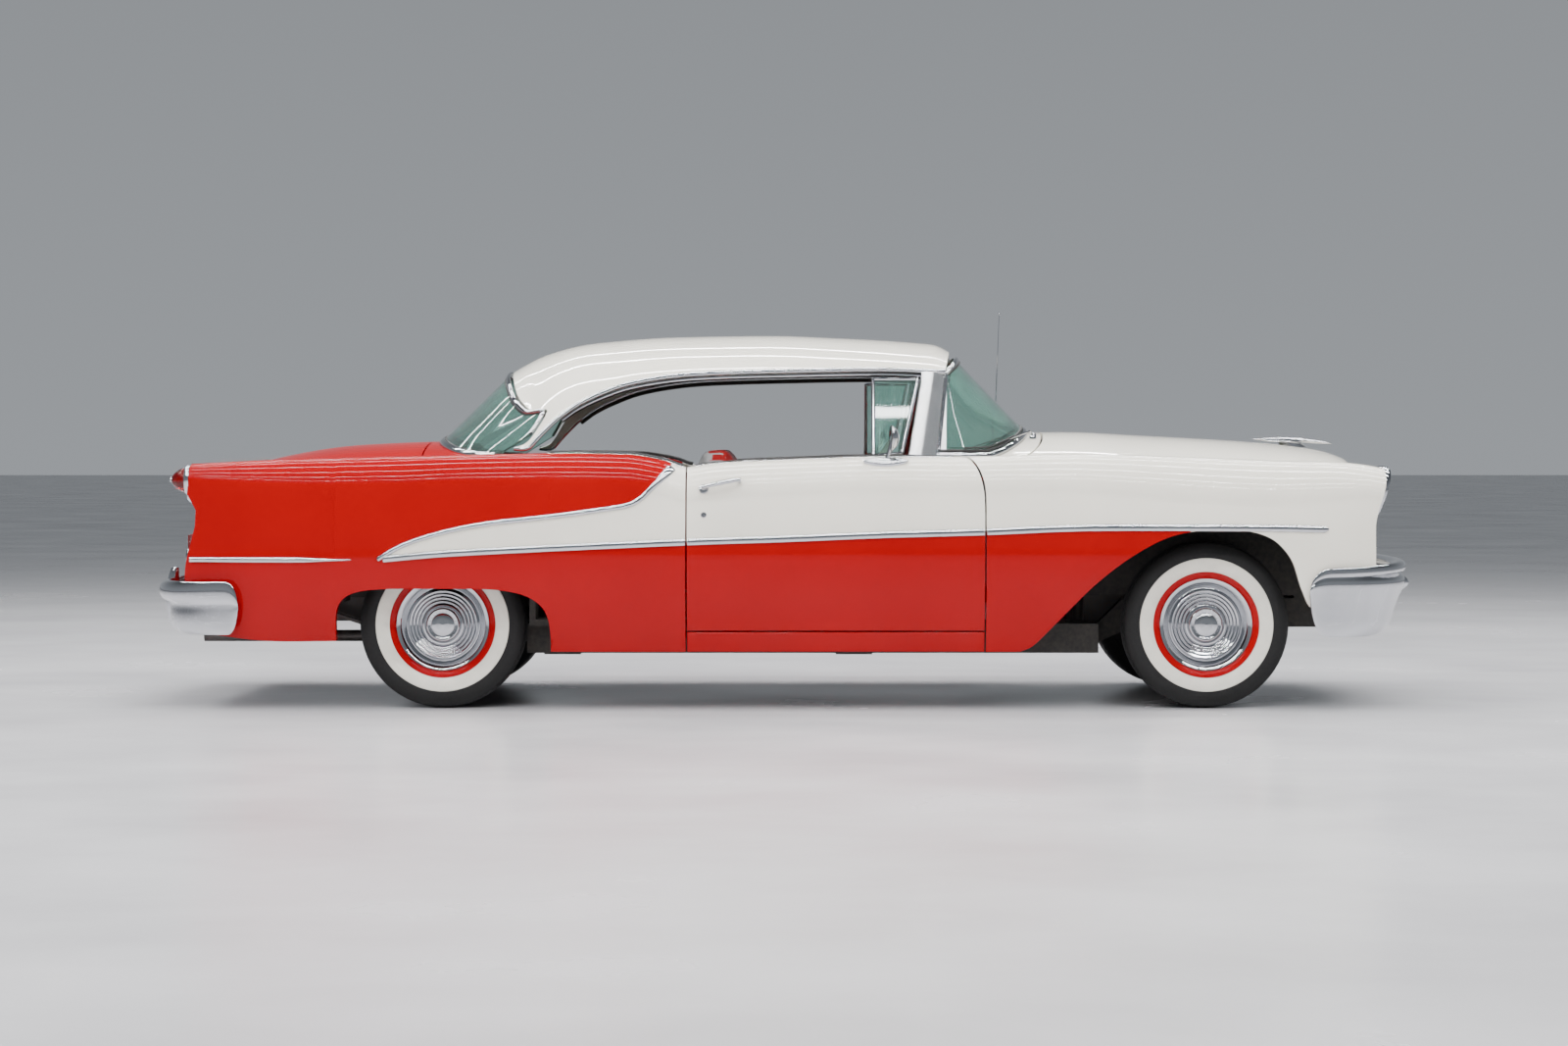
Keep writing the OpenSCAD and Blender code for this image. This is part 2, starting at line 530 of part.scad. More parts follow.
// ---------- roof ----------
roof_mid_pts = [[xr + 245, gh - 146], [xr + 304, gh - 112], [xr + 356, gh - 86], [xr + 416, gh - 65],
    [xr + 476, gh - 48], [xr + 547, gh - 33], [xr + 647, gh - 22], [xr + 861, gh - 5], [xr + 1218, gh + 3],
    [xr + 1386, gh + 3], [xr + 1587, gh - 5], [xr + 1807, gh - 16], [xr + 1952, gh - 27], [xr + 2030,
        gh - 37],
    [xr + 2087, gh - 66]];
rail_pts = [[glass_base_x, 37], [xr + 345, 37], [xr + 382, 77], [xr + 422, 119], [xr + 462, 157], [xr
    + 502, 188],
    [xr + 542, 216], [xr + 623, 256], [xr + 743, 300], [xr + 904, 330], [xr + 1065, 344], [xr + 1386, 354],
    [xr + 1788, 360], [xr + 2040, 352]];
roof_edge_pts = [[glass_base_x, 788], [xr + 400, 778], [xr + 600, 716], [xr + 900, 672], [xr + 1300, 660],
    [xr + 1700, 655], [xr + 2040, 628]];
roof_end_pts = [[0, 245], [0.4, 251], [0.7, 286], [0.8, 324], [0.87, 376], [0.915, 419], [0.95, 401],
    [0.975, 356], [1, 286]];
roof_v = [-1, -0.975, -0.95, -0.915, -0.87, -0.8, -0.7, -0.55, -0.4, -0.2, 0,
    0.2, 0.4, 0.55, 0.7, 0.8, 0.87, 0.915, 0.95, 0.975, 1];
roof_u = [0, 0.05, 0.12, 0.2, 0.3, 0.4, 0.55, 0.7, 0.85, 0.95, 1];
function roof_front_x(v) = xr + 2050 + 37 * (1 - pow(abs(v), 2));
function roof_point(x, v, t) = let (
    e = belt_z + curve_at(rail_pts, x), m = belt_z + curve_at(roof_mid_pts, x), s = abs(v),
    g = pw(1 - pow(s, 2.5), 0.9))
    [x, sign(v) * s * (curve_at(roof_edge_pts, x) - t), mix(e, m - t, g)];
module roof() {
    function xs(v, u) = mix(xr + curve_at(roof_end_pts, abs(v)), roof_front_x(v), u);
    color(IVORY) {
        shell([for (v = roof_v) [for (u = roof_u) roof_point(xs(v, u), v, 0)]],
            [for (v = roof_v) [for (u = roof_u) roof_point(xs(v, u), v, roof_t) - [0, 0,
                abs(v) > 0.96 ? 3 : 0]]], true);
    }
}

module rear_window() {
    function pt(v, k, d) = let (a = base_xy(v), x = xr + curve_at(roof_end_pts, abs(v)),
        p = roof_point(x, v, 6))
        mix([a[0] + 4, a[1] * 0.985, deck_z(a[0], a[1]) - 0.3], p - [12.3, 0, 2.1], k) - [0, d * v, d];
    color(GLASS) shell([for (v = base_v) [for (k = steps(0, 1, 4)) pt(v, k, 0)]],
        [for (v = base_v) [for (k = steps(0, 1, 4)) pt(v, k, glass_t)]], true);
}

// ---------- frame and running gear ----------
rail_y = 560;
front_rail_y = 352;
rear_rail_y = 470;
floor_z = frame_bottom_z + rail_h + 0.3;
rear_floor_z = 560;
front_rail_z = 312;
rail_end = 640;
rear_rail_z = 440;
module frame() {
    color(BLACK) difference() {
        frame_rails();
        both_sides() {
            translate([xf + 606, -front_rail_y + 32, front_rail_z - 1]) cylinder(h = tie_down_t + 2,
                r = tie_down_r);
            translate([x_rear + 256, -rear_rail_y + 32, rear_rail_z - 1]) cylinder(h = tie_down_t + 2,
                r = tie_down_r);
        }
    }
}
module lift_pad(x) {
    block([x - 75, x + 75], [-rail_y - rail_w + 5, -rail_y - 5], [frame_bottom_z - lift_pad_drop,
        frame_bottom_z]);
}
module frame_rails() {
    union() {
        both_sides() {
            block([xr + 330, xf - 420], [-rail_y - rail_w, -rail_y], [frame_bottom_z, frame_bottom_z
                + rail_h]);
            side_plate([[xf - 480, frame_bottom_z], [xf - 260, front_rail_z], [xf + 640, front_rail_z],
                [xf + 640, front_rail_z + rail_h], [xf - 300, front_rail_z + rail_h], [xf - 400,
                    frame_bottom_z + rail_h],
                [xf - 520, frame_bottom_z + rail_h], [xf - 520, frame_bottom_z]],
                    -front_rail_y - rail_w, -front_rail_y);
            block([xf - 520, xf - 420], [-rail_y + 0.3, -front_rail_y - rail_w], [frame_bottom_z,
                frame_bottom_z + rail_h]);
            side_plate([[xr + 380, frame_bottom_z], [xr + 160, rear_rail_z], [x_rear + 230, rear_rail_z],
                [x_rear + 230, rear_rail_z + 90], [xr + 130, rear_rail_z + rail_h - 5], [xr + 349.5,
                    frame_bottom_z + rail_h]
                , [xr + 380, frame_bottom_z + rail_h]], -rear_rail_y - rail_w, -rear_rail_y);
            block([xr + 330, xr + 380], [-rail_y + 0.3, -rear_rail_y - rail_w], [frame_bottom_z,
                frame_bottom_z + rail_h]);
            for (x = [door_rear + 140, door_front - 380])
                block([x, x + 60], [-inner_half + 0.3, -rail_y - rail_w], [sill_z + 10, sill_z + 70]);
            lift_pad(xf - 1425);
            lift_pad(xr + 475);
            block([xf + 576, xf + 636], [-front_rail_y + 0.3, -front_rail_y + 64], [front_rail_z,
                front_rail_z + tie_down_t]);
            block([x_rear + 232, x_rear + 279.5], [-rear_rail_y + 0.3, -rear_rail_y + 64], [rear_rail_z,
                rear_rail_z + tie_down_t]);
        }
        block([xf + 500, xf + 570], [-front_rail_y + 0.3, front_rail_y - 0.3], [front_rail_z,
            front_rail_z + rail_h]);
        block([xf - 1240, xf - 1140], [-rail_y + 0.3, rail_y - 0.3], [frame_bottom_z, frame_bottom_z + 25]);
        block([xr + 330, xr + 380], [-rear_rail_y + 0.3, rear_rail_y - 0.3], [frame_bottom_z,
            frame_bottom_z + 25]);
        block([x_rear + 280, x_rear + 299], [-rear_rail_y + 0.3, rear_rail_y - 0.3], [rear_rail_z,
            rear_rail_z + 90]);
    }
}

tunnel_half = 150;
tunnel_z = 440;
floor_half = inner_half - 6;
wheelhouse_y = 598;
module floor_pan() {
    z1 = floor_z + floor_t;
    color(BLACK) {
        front_plate([[-floor_half, floor_z], [-tunnel_half, floor_z], [-tunnel_half, tunnel_z - floor_t],
            [tunnel_half, tunnel_z - floor_t], [tunnel_half, floor_z], [floor_half, floor_z],
                [floor_half, z1],
            [tunnel_half + floor_t, z1], [tunnel_half + floor_t, tunnel_z], [-tunnel_half - floor_t,
                tunnel_z],
            [-tunnel_half - floor_t, z1], [-floor_half, z1]], seatback_x - 60, firewall_x - 0.3);
        difference() {
            block([seatback_x - 60 - floor_t, seatback_x - 60.3], [-floor_half, floor_half], [floor_z,
                rear_floor_z + floor_t]);
            block([seatback_x - 100, seatback_x], [-tunnel_half, tunnel_half], [floor_z - 10,
                tunnel_z - floor_t]);
        }
        block([x_rear + 215, seatback_x - 60 - floor_t], [-wheelhouse_y, wheelhouse_y],
            [rear_floor_z, rear_floor_z + floor_t]);
        both_sides() {
            block([xr - 400, xr + 380], [-wheelhouse_y - 16, -wheelhouse_y], [rear_floor_z, 745]);
            translate([0, 0, 730]) linear_extrude(15) polygon(concat([[xr + 380, -wheelhouse_y - 15],
                [xr - 400, -wheelhouse_y - 15]],
                [for (x = steps(xr - 400, xr + 380, 8)) [x, -side_y(x, 737) + quarter_in + 3]]));
        }
    }
}

inner_y = 436;
module inner_fenders() {
    color(BLACK) both_sides() {
        block([firewall_x + 20.3, fender_front - 60], [-inner_y - 14, -inner_y], [front_rail_z
            + rail_h + 12, 760]);
        translate([0, 0, 742]) linear_extrude(18) polygon(concat([[xf + 430, -inner_y - 13], [xf - 420,
            -inner_y - 13]],
            [for (x = steps(xf - 420, xf + 430, 8)) [x, -side_y(x, 760) + panel_t + 1]]));
    }
}

module front_suspension() {
    arm_y0 = front_rail_y + rail_w;
    kp = front_track / 2 - kingpin_offset;
    color(STEEL) {
        block([xf - 60, xf + 60], [-arm_y0, arm_y0], [front_rail_z - 72, front_rail_z - 32]);
        both_sides() {
            block([xf - 60, xf + 60], [-arm_y0, -front_rail_y], [front_rail_z - 32, front_rail_z]);
            for (a = [[tyre_r - 95, 20], [tyre_r + 80, 20]])
                difference() {
                    union() {
                        translate([0, 0, a[0]]) linear_extrude(a[1]) polygon([[xf - 22, -kp],
                            [xf - 145, -arm_y0],
                            [xf + 145, -arm_y0], [xf + 22, -kp]]);
                        translate([xf, -kp, a[0]]) cylinder(h = a[1], r = 26);
                    }
                    translate([xf, -kp, a[0] - 1]) cylinder(h = a[1] + 2, r = pin_r + running);
                    translate([0, 0, a[0] - 1]) linear_extrude(a[1] + 2) polygon([[xf, -kp + 70],
                        [xf - 85, -arm_y0 - 22],
                        [xf + 85, -arm_y0 - 22]]);
                }
            block([xf - 145, xf + 145], [-arm_y0 - 10, -arm_y0 + 60], [front_rail_z + rail_h, tyre_r
                + 130]);
        }
    }
}
pin_r = 13;

module knuckle() {
    kp = front_track / 2 - kingpin_offset;
    color(STEEL) {
        translate([xf, -kp, tyre_r - 95]) cylinder(h = 195, r = pin_r);
        translate([xf, -kp, tyre_r - 74.7]) cylinder(h = 154.4, r = 24);
        rod_y(xf, tyre_r, 40, -kp - 34, -kp - 10);
        rod_y(xf, tyre_r, spindle_r, -front_track / 2 - 32, -kp - 30);
        block([xf - steering_arm, xf - 12], [-kp - 9, -kp + 9], [arm_z, arm_z + 16]);
        translate([xf - steering_arm, -kp, arm_z]) cylinder(h = 16, r = 16);
    }
}
arm_z = tyre_r - 44;

module steering_link() {
    kp = front_track / 2 - kingpin_offset;
    color(STEEL) {
        rod_y(xf - steering_arm, arm_z - 8.3, 8, -kp, kp);
        both_sides() translate([xf - steering_arm, -kp, arm_z - 16.3]) cylinder(h = 16, r = 14);
    }
}

module rear_axle() {
    color(STEEL) {
        rod_y(xr, tyre_r, 38, -rear_track / 2 + 50, rear_track / 2 - 50);
        rod_y(xr, tyre_r, spindle_r, -rear_track / 2 - 32, rear_track / 2 + 32);
        translate([xr, 0, tyre_r]) sphere(r = 120);
        bar([xr + 90, 0, tyre_r], [xf - 1213, 0, 330], 38);
        both_sides() {
            side_plate([[xr - 620, rear_rail_z], [xr - 625, 418], [xr - 300, 306], [xr, 292], [xr
                + 285, 302],
                [xr + 285, 312], [xr, 302], [xr - 295, 318], [xr - 600, 420], [xr - 596, rear_rail_z]],
                    -545, -485);
            block([xr - 60, xr + 60], [-550, -480], [302, 330]);
        }
    }
}

module rim_profile() {
    polygon([[spindle_r + running, -20], [62, -20], [62, -34], [142, -34], [142, -12], [150, -12],
        [168, -78],
        [rim_r, -78], [rim_r, -66], [rim_r - 16, -60], [rim_r - 22, 30], [rim_r - 4, 60], [rim_r, 66],
            [rim_r, 76],
        [rim_r - 6, 78], [rim_r - 30, 56], [150, 42], [130, 48], [84, 56], [66, 66], [46, 68], [30,
            74], [0, 78],
        [0, 42], [spindle_r + running, 42]]);
}
module wheel(x, track) {
    color(CHROME) translate([x, -track / 2, tyre_r]) rotate([90, 0, 0]) rotate_extrude() rim_profile();
}
module tyre(x, track) {
    w = tyre_w / 2;
    color(BLACK) translate([x, -track / 2, tyre_r]) rotate([90, 0, 0]) rotate_extrude($fn = 72)
        polygon([[rim_r + 0.2, -78], [rim_r + 22, -w + 12], [rim_r + 60, -w], [rim_r + 92, -w + 2],
            [tyre_r - 26, -w + 14],
            [tyre_r - 8, -w + 26], [tyre_r, -w + 48], [tyre_r, w - 48], [tyre_r - 8, w - 26],
                [tyre_r - 26, w - 14],
            [rim_r + 92, w - 2], [rim_r + 60, w], [rim_r + 22, w - 12], [rim_r + 0.2, 78]]);
}

// ---------- front and rear ----------
// A bar that wraps round the car: section points are [inset, z]; x0 is the end of the wrap, x1 the far face
function wrap_ring(section, x0, x1, half, a, n) = [for (p = section)
    [x0 + (x1 - sign(x1 - x0) * p[0] - x0) * pw(cos(a), n), (half - 0.12 * p[0]) * sign(a)
        * pw(sin(abs(a)), n), p[1]]];
wrap_angles = [-90, -80, -70, -60, -52, -45, -36, -26, -14, 0, 14, 26, 36, 45, 52, 60, 70, 80, 90];
module wrap_bar(section, x0, x1, half, n, flip) {
    ring_loft([for (a = wrap_angles) wrap_ring(section, x0, x1, half, a, n)], flip);
}
module plate_holes(x, z) {
    for (y = [-0.5, 0.5] * plate_bolt_y) rod_x(y, z, plate_bolt_r, x - 90, x + 90);
}
module front_bumper() {
    color(CHROME) difference() {
        union() {
            block([x_front - 22, x_front - 16], [-160, 160], [plate_z - 82, plate_z + 68]);
        wrap_bar([[114, 606], [10, 585], [0, 562], [9, 517], [17, 490], [46, 395], [74, 334], [127, 296],
            [127, 312], [90, 345], [62, 400], [36, 492], [34, 540], [114, 590]], xf + 400, x_front,
                hw - 2, 0.55, false);
        both_sides() block([xf + rail_end + 0.3, x_front - 40], [-front_rail_y - rail_w,
            -front_rail_y], [front_rail_z + 40, front_rail_z + 100]);
        }
        plate_holes(x_front, plate_z);
    }
}
plate_z = 432;
rear_plate_z = 640;
module rear_bumper() {
    color(CHROME) {
        wrap_bar([[60, 522], [16, 513], [0, 490], [0, 462], [14, 442], [44, 425], [44, 350], [66, 316],
            [110, 306],
            [110, 320], [82, 332], [70, 356], [70, 432], [40, 456], [26, 468], [26, 486], [34, 500],
                [60, 508]], x_rear + 388, x_rear, hw - 14, 0.5, true);
        both_sides() block([x_rear + 41.5, x_rear + 229.7], [-rear_rail_y - rail_w, -rear_rail_y],
            [rear_rail_z + 16, rear_rail_z + 54]);
        difference() {
            block([x_rear + 54, x_rear + 62], [-160, 160], [522.3, rear_plate_z + 50]);
            plate_holes(x_rear, rear_plate_z);
        }
    }
}
grille_x = xf + 700;
module grille() {
    color(CHROME) {
        front_plate_ring(grille_half, 612, 934, grille_x - 24, grille_x + 16);
        rod_y(grille_x - 8, 770, 22, -grille_half + 20, grille_half - 20);
        for (i = [-1:1]) block([grille_x - 20, grille_x - 10], [i * 220 - 8, i * 220 + 8], [620, 926]);
        block([grille_x - 24, grille_x - 4], [-540, 540], [540, 614]);
    }
}
module front_plate_ring(half, z0, z1, x0, x1) {
    zc = (z0 + z1) / 2;
    h = (z1 - z0) / 2;
    outer = [for (a = [0:15:345]) [half * sign(cos(a)) * pw(abs(cos(a)), 0.5), zc + h * sign(sin(a))
        * pw(abs(sin(a)), 0.7)]];
    inner = [for (a = [0:15:345]) [(half - 32) * sign(cos(a)) * pw(abs(cos(a)), 0.5),
        zc + (h - 30) * sign(sin(a)) * pw(abs(sin(a)), 0.7)]];
    difference() {
        front_plate(outer, x0, x1);
        front_plate(inner, x0 - 1, x1 + 1);
    }
}
module headlamps() {
    color(CHROME) both_sides() {
        rod_x(-lamp_y, lamp_z, lamp_r, fender_front - 40, fender_front + 18);
        translate([fender_front + 18, -lamp_y, lamp_z]) rotate([0, 90, 0]) cylinder(h = 14,
            r1 = lamp_r, r2 = lamp_r - 18);
    }
}
tail_lamp_y = 842;
tail_lamp_z = belt_z - 92;
module tail_lamps() {
    color(RED) both_sides() translate([tail_x - 0.3, -tail_lamp_y, tail_lamp_z]) rotate([0, -90, 0]) {
        cylinder(h = 14, r = 58);
        translate([0, 0, 14]) cylinder(h = 66, r1 = 52, r2 = 22);
    }
}

// ---------- power train, exhaust and tank ----------
module engine() {
    color(STEEL) {
        block([xf - 520, xf + 230], [-250, 250], [front_rail_z + rail_h + 2, 900]);
        block([xf - 520, xf + 210], [-front_rail_y + 130, front_rail_y - 130], [330, front_rail_z
            + rail_h + 2]);
        both_sides() block([xf - 260, xf - 160], [-front_rail_y, -front_rail_y + 131], [front_rail_z
            + 60, front_rail_z + rail_h]);
        block([firewall_x - 240, xf - 519], [-tunnel_half + 20, tunnel_half - 20], [260,
            tunnel_z - floor_t - 10]);
        rod_x(0, 330, 50, xf - 1211, firewall_x - 240);
    }
}
module radiator() {
    color(BLACK) {
        block([xf + 400, xf + 470], [-340, 340], [front_rail_z + rail_h + 0.3, belt_z - 20]);
        both_sides() translate([hood_point(0.8, -0.22)[0], hood_point(0.8, -0.22)[1], belt_z - 30])
            cylinder(h = hood_point(0.8, -0.22)[2] - lid_t - 1.1 - belt_z + 30, r = 6);
        both_sides() block([xf + 410, xf + 460], [-inner_y + 0.3, -340], [front_rail_z + rail_h + 0.3,
            belt_z - 60]);
    }
}
module exhaust() {
    color(STEEL) {
        rod_x(-300, 270, 24, x_rear + 150, xf - 456);
        rod_x(-300, 270, 60, xf - 2300, xf - 1500);
        translate([xf - 480, -300, 270]) cylinder(h = 290, r = 24);
        block([xf - 505, xf - 250], [-325, -250.3], [530, 580]);
    }
}
module fuel_tank() {
    color(STEEL) block([x_rear + 300, xr - 330], [-rear_rail_y + 10, rear_rail_y - 10], [345,
        rear_floor_z - 0.3]);
}

// ---------- cabin ----------
module cushion(x, y, z, r) {
    translate([0, y[1], 0]) rotate([90, 0, 0]) linear_extrude(y[1] - y[0])
        offset(r) translate([x[0] + r, z[0] + r]) square([x[1] - x[0] - 2 * r, z[1] - z[0] - 2 * r]);
}
module front_seat() {
    color(GREY_TRIM) {
        cushion([-260, 340], [-680, 680], [tunnel_z + 0.3, 610], 45);
        translate([-250, 0, 560]) rotate([0, -9, 0]) cushion([-60, 75], [-670, 670], [0, 505], 50);
        both_sides() block([-150, 290], [-600, -220], [floor_z + floor_t + 0.3, tunnel_z + 1]);
    }
}
module rear_seat() {
    sb = seatback_x;
    color(GREY_TRIM) {
        translate([0, 740, 0]) rotate([90, 0, 0]) linear_extrude(1480) offset(20) polygon([
            [sb + 20, tunnel_z + 20.3], [sb + 540, tunnel_z + 20.3], [sb + 540, 550], [sb + 500, 572],
                [sb + 130, 545],
            [sb + 92, 572], [sb + 22, 955], [sb - 14, 985], [sb - 49.7, 962], [sb - 2, 560]]);
        both_sides() block([sb + 60, sb + 500], [-700, -220], [floor_z + floor_t + 0.3, tunnel_z]);
    }
}
wheel_pos = [xf - 1330, 370, belt_z - 70];
module along_column() {
    translate(wheel_pos) rotate([0, 90 + column_slope, 0]) children();
}
module dashboard() {
    color(GREY_TRIM) {
        side_plate([[firewall_x - 0.3, belt_z - 30], [firewall_x - 60, belt_z + 26], [xf - 1010,
            belt_z + 30],
            [xf - 1080, belt_z + 16], [xf - 1110, belt_z - 60], [xf - 1090, belt_z - 190],
            [firewall_x - 0.3, belt_z - 190]], -590, 590);
        side_plate([[firewall_x - 0.3, belt_z - 64], [xf - 1106, belt_z - 64], [xf - 1090, belt_z - 190],
            [firewall_x - 0.3, belt_z - 190]], -690, 690);
        along_column() difference() {
            translate([0, 0, 60]) cylinder(r = 28,
                h = (firewall_x - wheel_pos[0]) / cos(column_slope) - 60 - 28 * tan(column_slope) - 1);
            translate([0, 0, 50]) cylinder(h = 150, r = 16 + running);
        }
    }
}
module steering_wheel() {
    color(IVORY) along_column() {
        rotate_extrude() translate([steering_wheel_r - 11, 0]) circle(r = 11, $fn = 24);
        translate([0, 0, 6]) cylinder(h = 30, r = 34);
        translate([0, 0, 30]) cylinder(h = 150, r = 16);
        for (a = [-100, 100]) rotate([0, 0, a]) translate([20, -10, 6]) cube([steering_wheel_r - 32,
            20, 9]);
    }
}
module antenna() {
    color(CHROME) {
        translate([xf - 780, 650, top_z(xf - 780, 650) + 2]) rotate([0, 2.2, 0]) {
            cylinder(h = 38, r = 14);
            cylinder(h = 632, r = 3);
        }
    }
}

frame();
floor_pan();
cowl();
rocker_panels();
quarter_panel();  // quarter_panel_right
mirror([0, 1, 0]) quarter_panel();  // quarter_panel_left
rear_deck();
tail_panel();
front_fender();  // front_fender_right
mirror([0, 1, 0]) front_fender();  // front_fender_left
inner_fenders();
roof();
windshield();
rear_window();
grille();
front_bumper();
rear_bumper();
headlamps();
tail_lamps();
engine();
radiator();
front_suspension();
rear_axle();
exhaust();
fuel_tank();
front_seat();
rear_seat();
dashboard();
antenna();
door();  // door_right
mirror([0, 1, 0]) door();  // door_left
hood();
trunk_lid();
tyre(xf, front_track);  // tyre_front_right
mirror([0, 1, 0]) tyre(xf, front_track);  // tyre_front_left
tyre(xr, rear_track);  // tyre_rear_right
mirror([0, 1, 0]) tyre(xr, rear_track);  // tyre_rear_left
wheel(xf, front_track);  // wheel_front_right
mirror([0, 1, 0]) wheel(xf, front_track);  // wheel_front_left
wheel(xr, rear_track);  // wheel_rear_right
mirror([0, 1, 0]) wheel(xr, rear_track);  // wheel_rear_left
knuckle();  // knuckle_right
mirror([0, 1, 0]) knuckle();  // knuckle_left
steering_link();
steering_wheel();
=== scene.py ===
"""1950s two-door hardtop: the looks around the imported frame. All lengths in the helpers are millimetres."""
import math

import bmesh
import bpy
from mathutils import Matrix, Vector


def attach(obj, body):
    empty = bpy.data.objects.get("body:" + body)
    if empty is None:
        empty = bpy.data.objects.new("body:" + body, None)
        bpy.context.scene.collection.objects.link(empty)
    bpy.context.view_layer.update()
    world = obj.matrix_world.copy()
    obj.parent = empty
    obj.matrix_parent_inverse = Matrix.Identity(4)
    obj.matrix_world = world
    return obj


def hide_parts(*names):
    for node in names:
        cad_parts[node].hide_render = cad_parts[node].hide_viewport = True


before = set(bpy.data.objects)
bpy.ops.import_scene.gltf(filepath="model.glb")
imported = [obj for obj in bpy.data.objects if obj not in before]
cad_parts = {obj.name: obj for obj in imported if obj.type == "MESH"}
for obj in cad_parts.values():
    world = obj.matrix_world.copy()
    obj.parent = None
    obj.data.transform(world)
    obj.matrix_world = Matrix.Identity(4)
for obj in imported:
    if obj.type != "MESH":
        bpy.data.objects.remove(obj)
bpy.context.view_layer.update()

# ---------------------------------------------------------------- sizes, as in the part's source
WHEELBASE, FRONT_OVERHANG, REAR_OVERHANG, BODY_W = 3099, 870, 1197, 1976
BELT, SILL, ROOF_H = 1020, 236, 1530
X_FRONT = (WHEELBASE + FRONT_OVERHANG + REAR_OVERHANG) / 2
X_REAR = -X_FRONT
XF = X_FRONT - FRONT_OVERHANG
XR = XF - WHEELBASE
HW = BODY_W / 2
GH = ROOF_H - BELT
DOOR_FRONT = XF - 905
DOOR_REAR = DOOR_FRONT - 1205
GAP = 6
FENDER_FRONT = XF + 723
TAIL_X = X_REAR + 175
SEATBACK_X = XR + 436
INNER_HALF = HW - 188
HOOD_HALF, LID_HALF = 640, 650
LID_FRONT = XR - 99
HOOD_NOSE = XF + 690
PANEL_T, ROOF_T, LID_T, QUARTER_T = 30, 36, 28, 50
DOOR_BOTTOM = 322
FRONT_TRACK, REAR_TRACK, TYRE_R, TYRE_W = 1499, 1473, 340, 195
LAMP_Y, LAMP_Z, LAMP_R = HW - 258, BELT - 148, 84
TAIL_LAMP_Y, TAIL_LAMP_Z = 842, BELT - 92


def mix(a, b, t):
    return a + (b - a) * t


def clamp01(t):
    return min(max(t, 0.0), 1.0)


def smooth(t):
    c = clamp01(t)
    return c * c * (3 - 2 * c)


def pw(b, e):
    return max(b, 0.0) ** e


def steps(a, b, n):
    return [mix(a, b, i / n) for i in range(n + 1)]


def angles(n):
    return [2 * math.pi * i / n for i in range(n)]


def sgn(v):
    return (v > 0) - (v < 0)


def curve_at(p, x):
    """The same smooth curve through [x, y] points as the part's source."""
    xc = min(max(x, p[0][0]), p[-1][0])
    i = 0
    while i < len(p) - 2 and xc >= p[i + 1][0]:
        i += 1

    def slope(k):
        a, b = max(k - 1, 0), min(k + 1, len(p) - 1)
        return (p[b][1] - p[a][1]) / (p[b][0] - p[a][0])

    h = p[i + 1][0] - p[i][0]
    t = (xc - p[i][0]) / h
    t2, t3 = t * t, t * t * t
    return (p[i][1] * (2 * t3 - 3 * t2 + 1) + slope(i) * h * (t3 - 2 * t2 + t)
            + p[i + 1][1] * (3 * t2 - 2 * t3) + slope(i + 1) * h * (t3 - t2))


CROWN = [(TAIL_X, BELT - 27), (XR - 600, BELT - 7), (XR - 130, BELT + 5), (XR + 430, BELT + 15),
         (DOOR_REAR - 240, BELT + 11), (DOOR_REAR - 160, BELT + 1), (DOOR_REAR - 80, BELT - 16),
         (DOOR_REAR - 20, BELT - 37), (DOOR_REAR + 30, BELT - 38), (DOOR_REAR + 90, BELT - 28),
         (DOOR_REAR + 240, BELT - 17), (DOOR_REAR + 450, BELT - 9), (DOOR_FRONT - 470, BELT + 1),
         (DOOR_FRONT, BELT + 2), (DOOR_FRONT + 200, BELT + 9), (XF - 520, BELT + 14),
         (XF - 120, BELT + 3), (XF + 280, BELT - 13), (XF + 540, BELT - 20),
         (XF + 660, BELT - 33), (FENDER_FRONT, BELT - 46)]
HALF = [(X_REAR + 150, HW - 74), (XR - 700, HW - 28), (XR - 200, HW - 6), (XR + 300, HW - 2),
        (DOOR_REAR, HW - 3), (DOOR_FRONT, HW - 4), (XF - 300, HW - 2), (XF + 100, HW - 4),
        (XF + 450, HW - 22), (FENDER_FRONT, HW - 62)]
SHOULDER_W = [(TAIL_X, 75), (XR - 500, 118), (XR + 300, 112), (DOOR_FRONT, 112), (XF - 500, 128),
              (XF + 200, 150), (FENDER_FRONT, 120)]
SHOULDER_H = [(TAIL_X, 75), (XR - 500, 140), (XR + 300, 150), (DOOR_FRONT, 150), (XF + 200, 185),
              (FENDER_FRONT, 130)]
WAIST_Z, UNDER_W, TUMBLE_W = 640, 62, 24


def crown_z(x):
    return curve_at(CROWN, x)


def half_y(x):
    return curve_at(HALF, x)


def shoulder_w(x):
    return curve_at(SHOULDER_W, x)


def shoulder_h(x):
    return curve_at(SHOULDER_H, x)


def side_y(x, z):
    top = crown_z(x) - shoulder_h(x)
    if z < WAIST_Z:
        return half_y(x) - UNDER_W * ((WAIST_Z - z) / (WAIST_Z - SILL)) ** 2
    return half_y(x) - TUMBLE_W * ((z - WAIST_Z) / (top - WAIST_Z)) ** 2


def crown_y(x):
    return half_y(x) - TUMBLE_W - shoulder_w(x)


def surf_y(x, z):
    """Half width of the painted side at (x, z), shoulder included."""
    h = shoulder_h(x)
    zs = crown_z(x) - h
    if z < zs:
        return side_y(x, z)
    s = min((z - zs) / h, 1.0)
    return side_y(x, zs) - shoulder_w(x) * (1 - math.sqrt(max(1 - s * s, 0)))


def side_normal(x, z):
    """Outward normal on the right side."""
    dx = (surf_y(x + 4, z) - surf_y(x - 4, z)) / 8
    dz = (surf_y(x, z + 4) - surf_y(x, z - 4)) / 8
    return Vector((-dx, -1, -dz)).normalized()


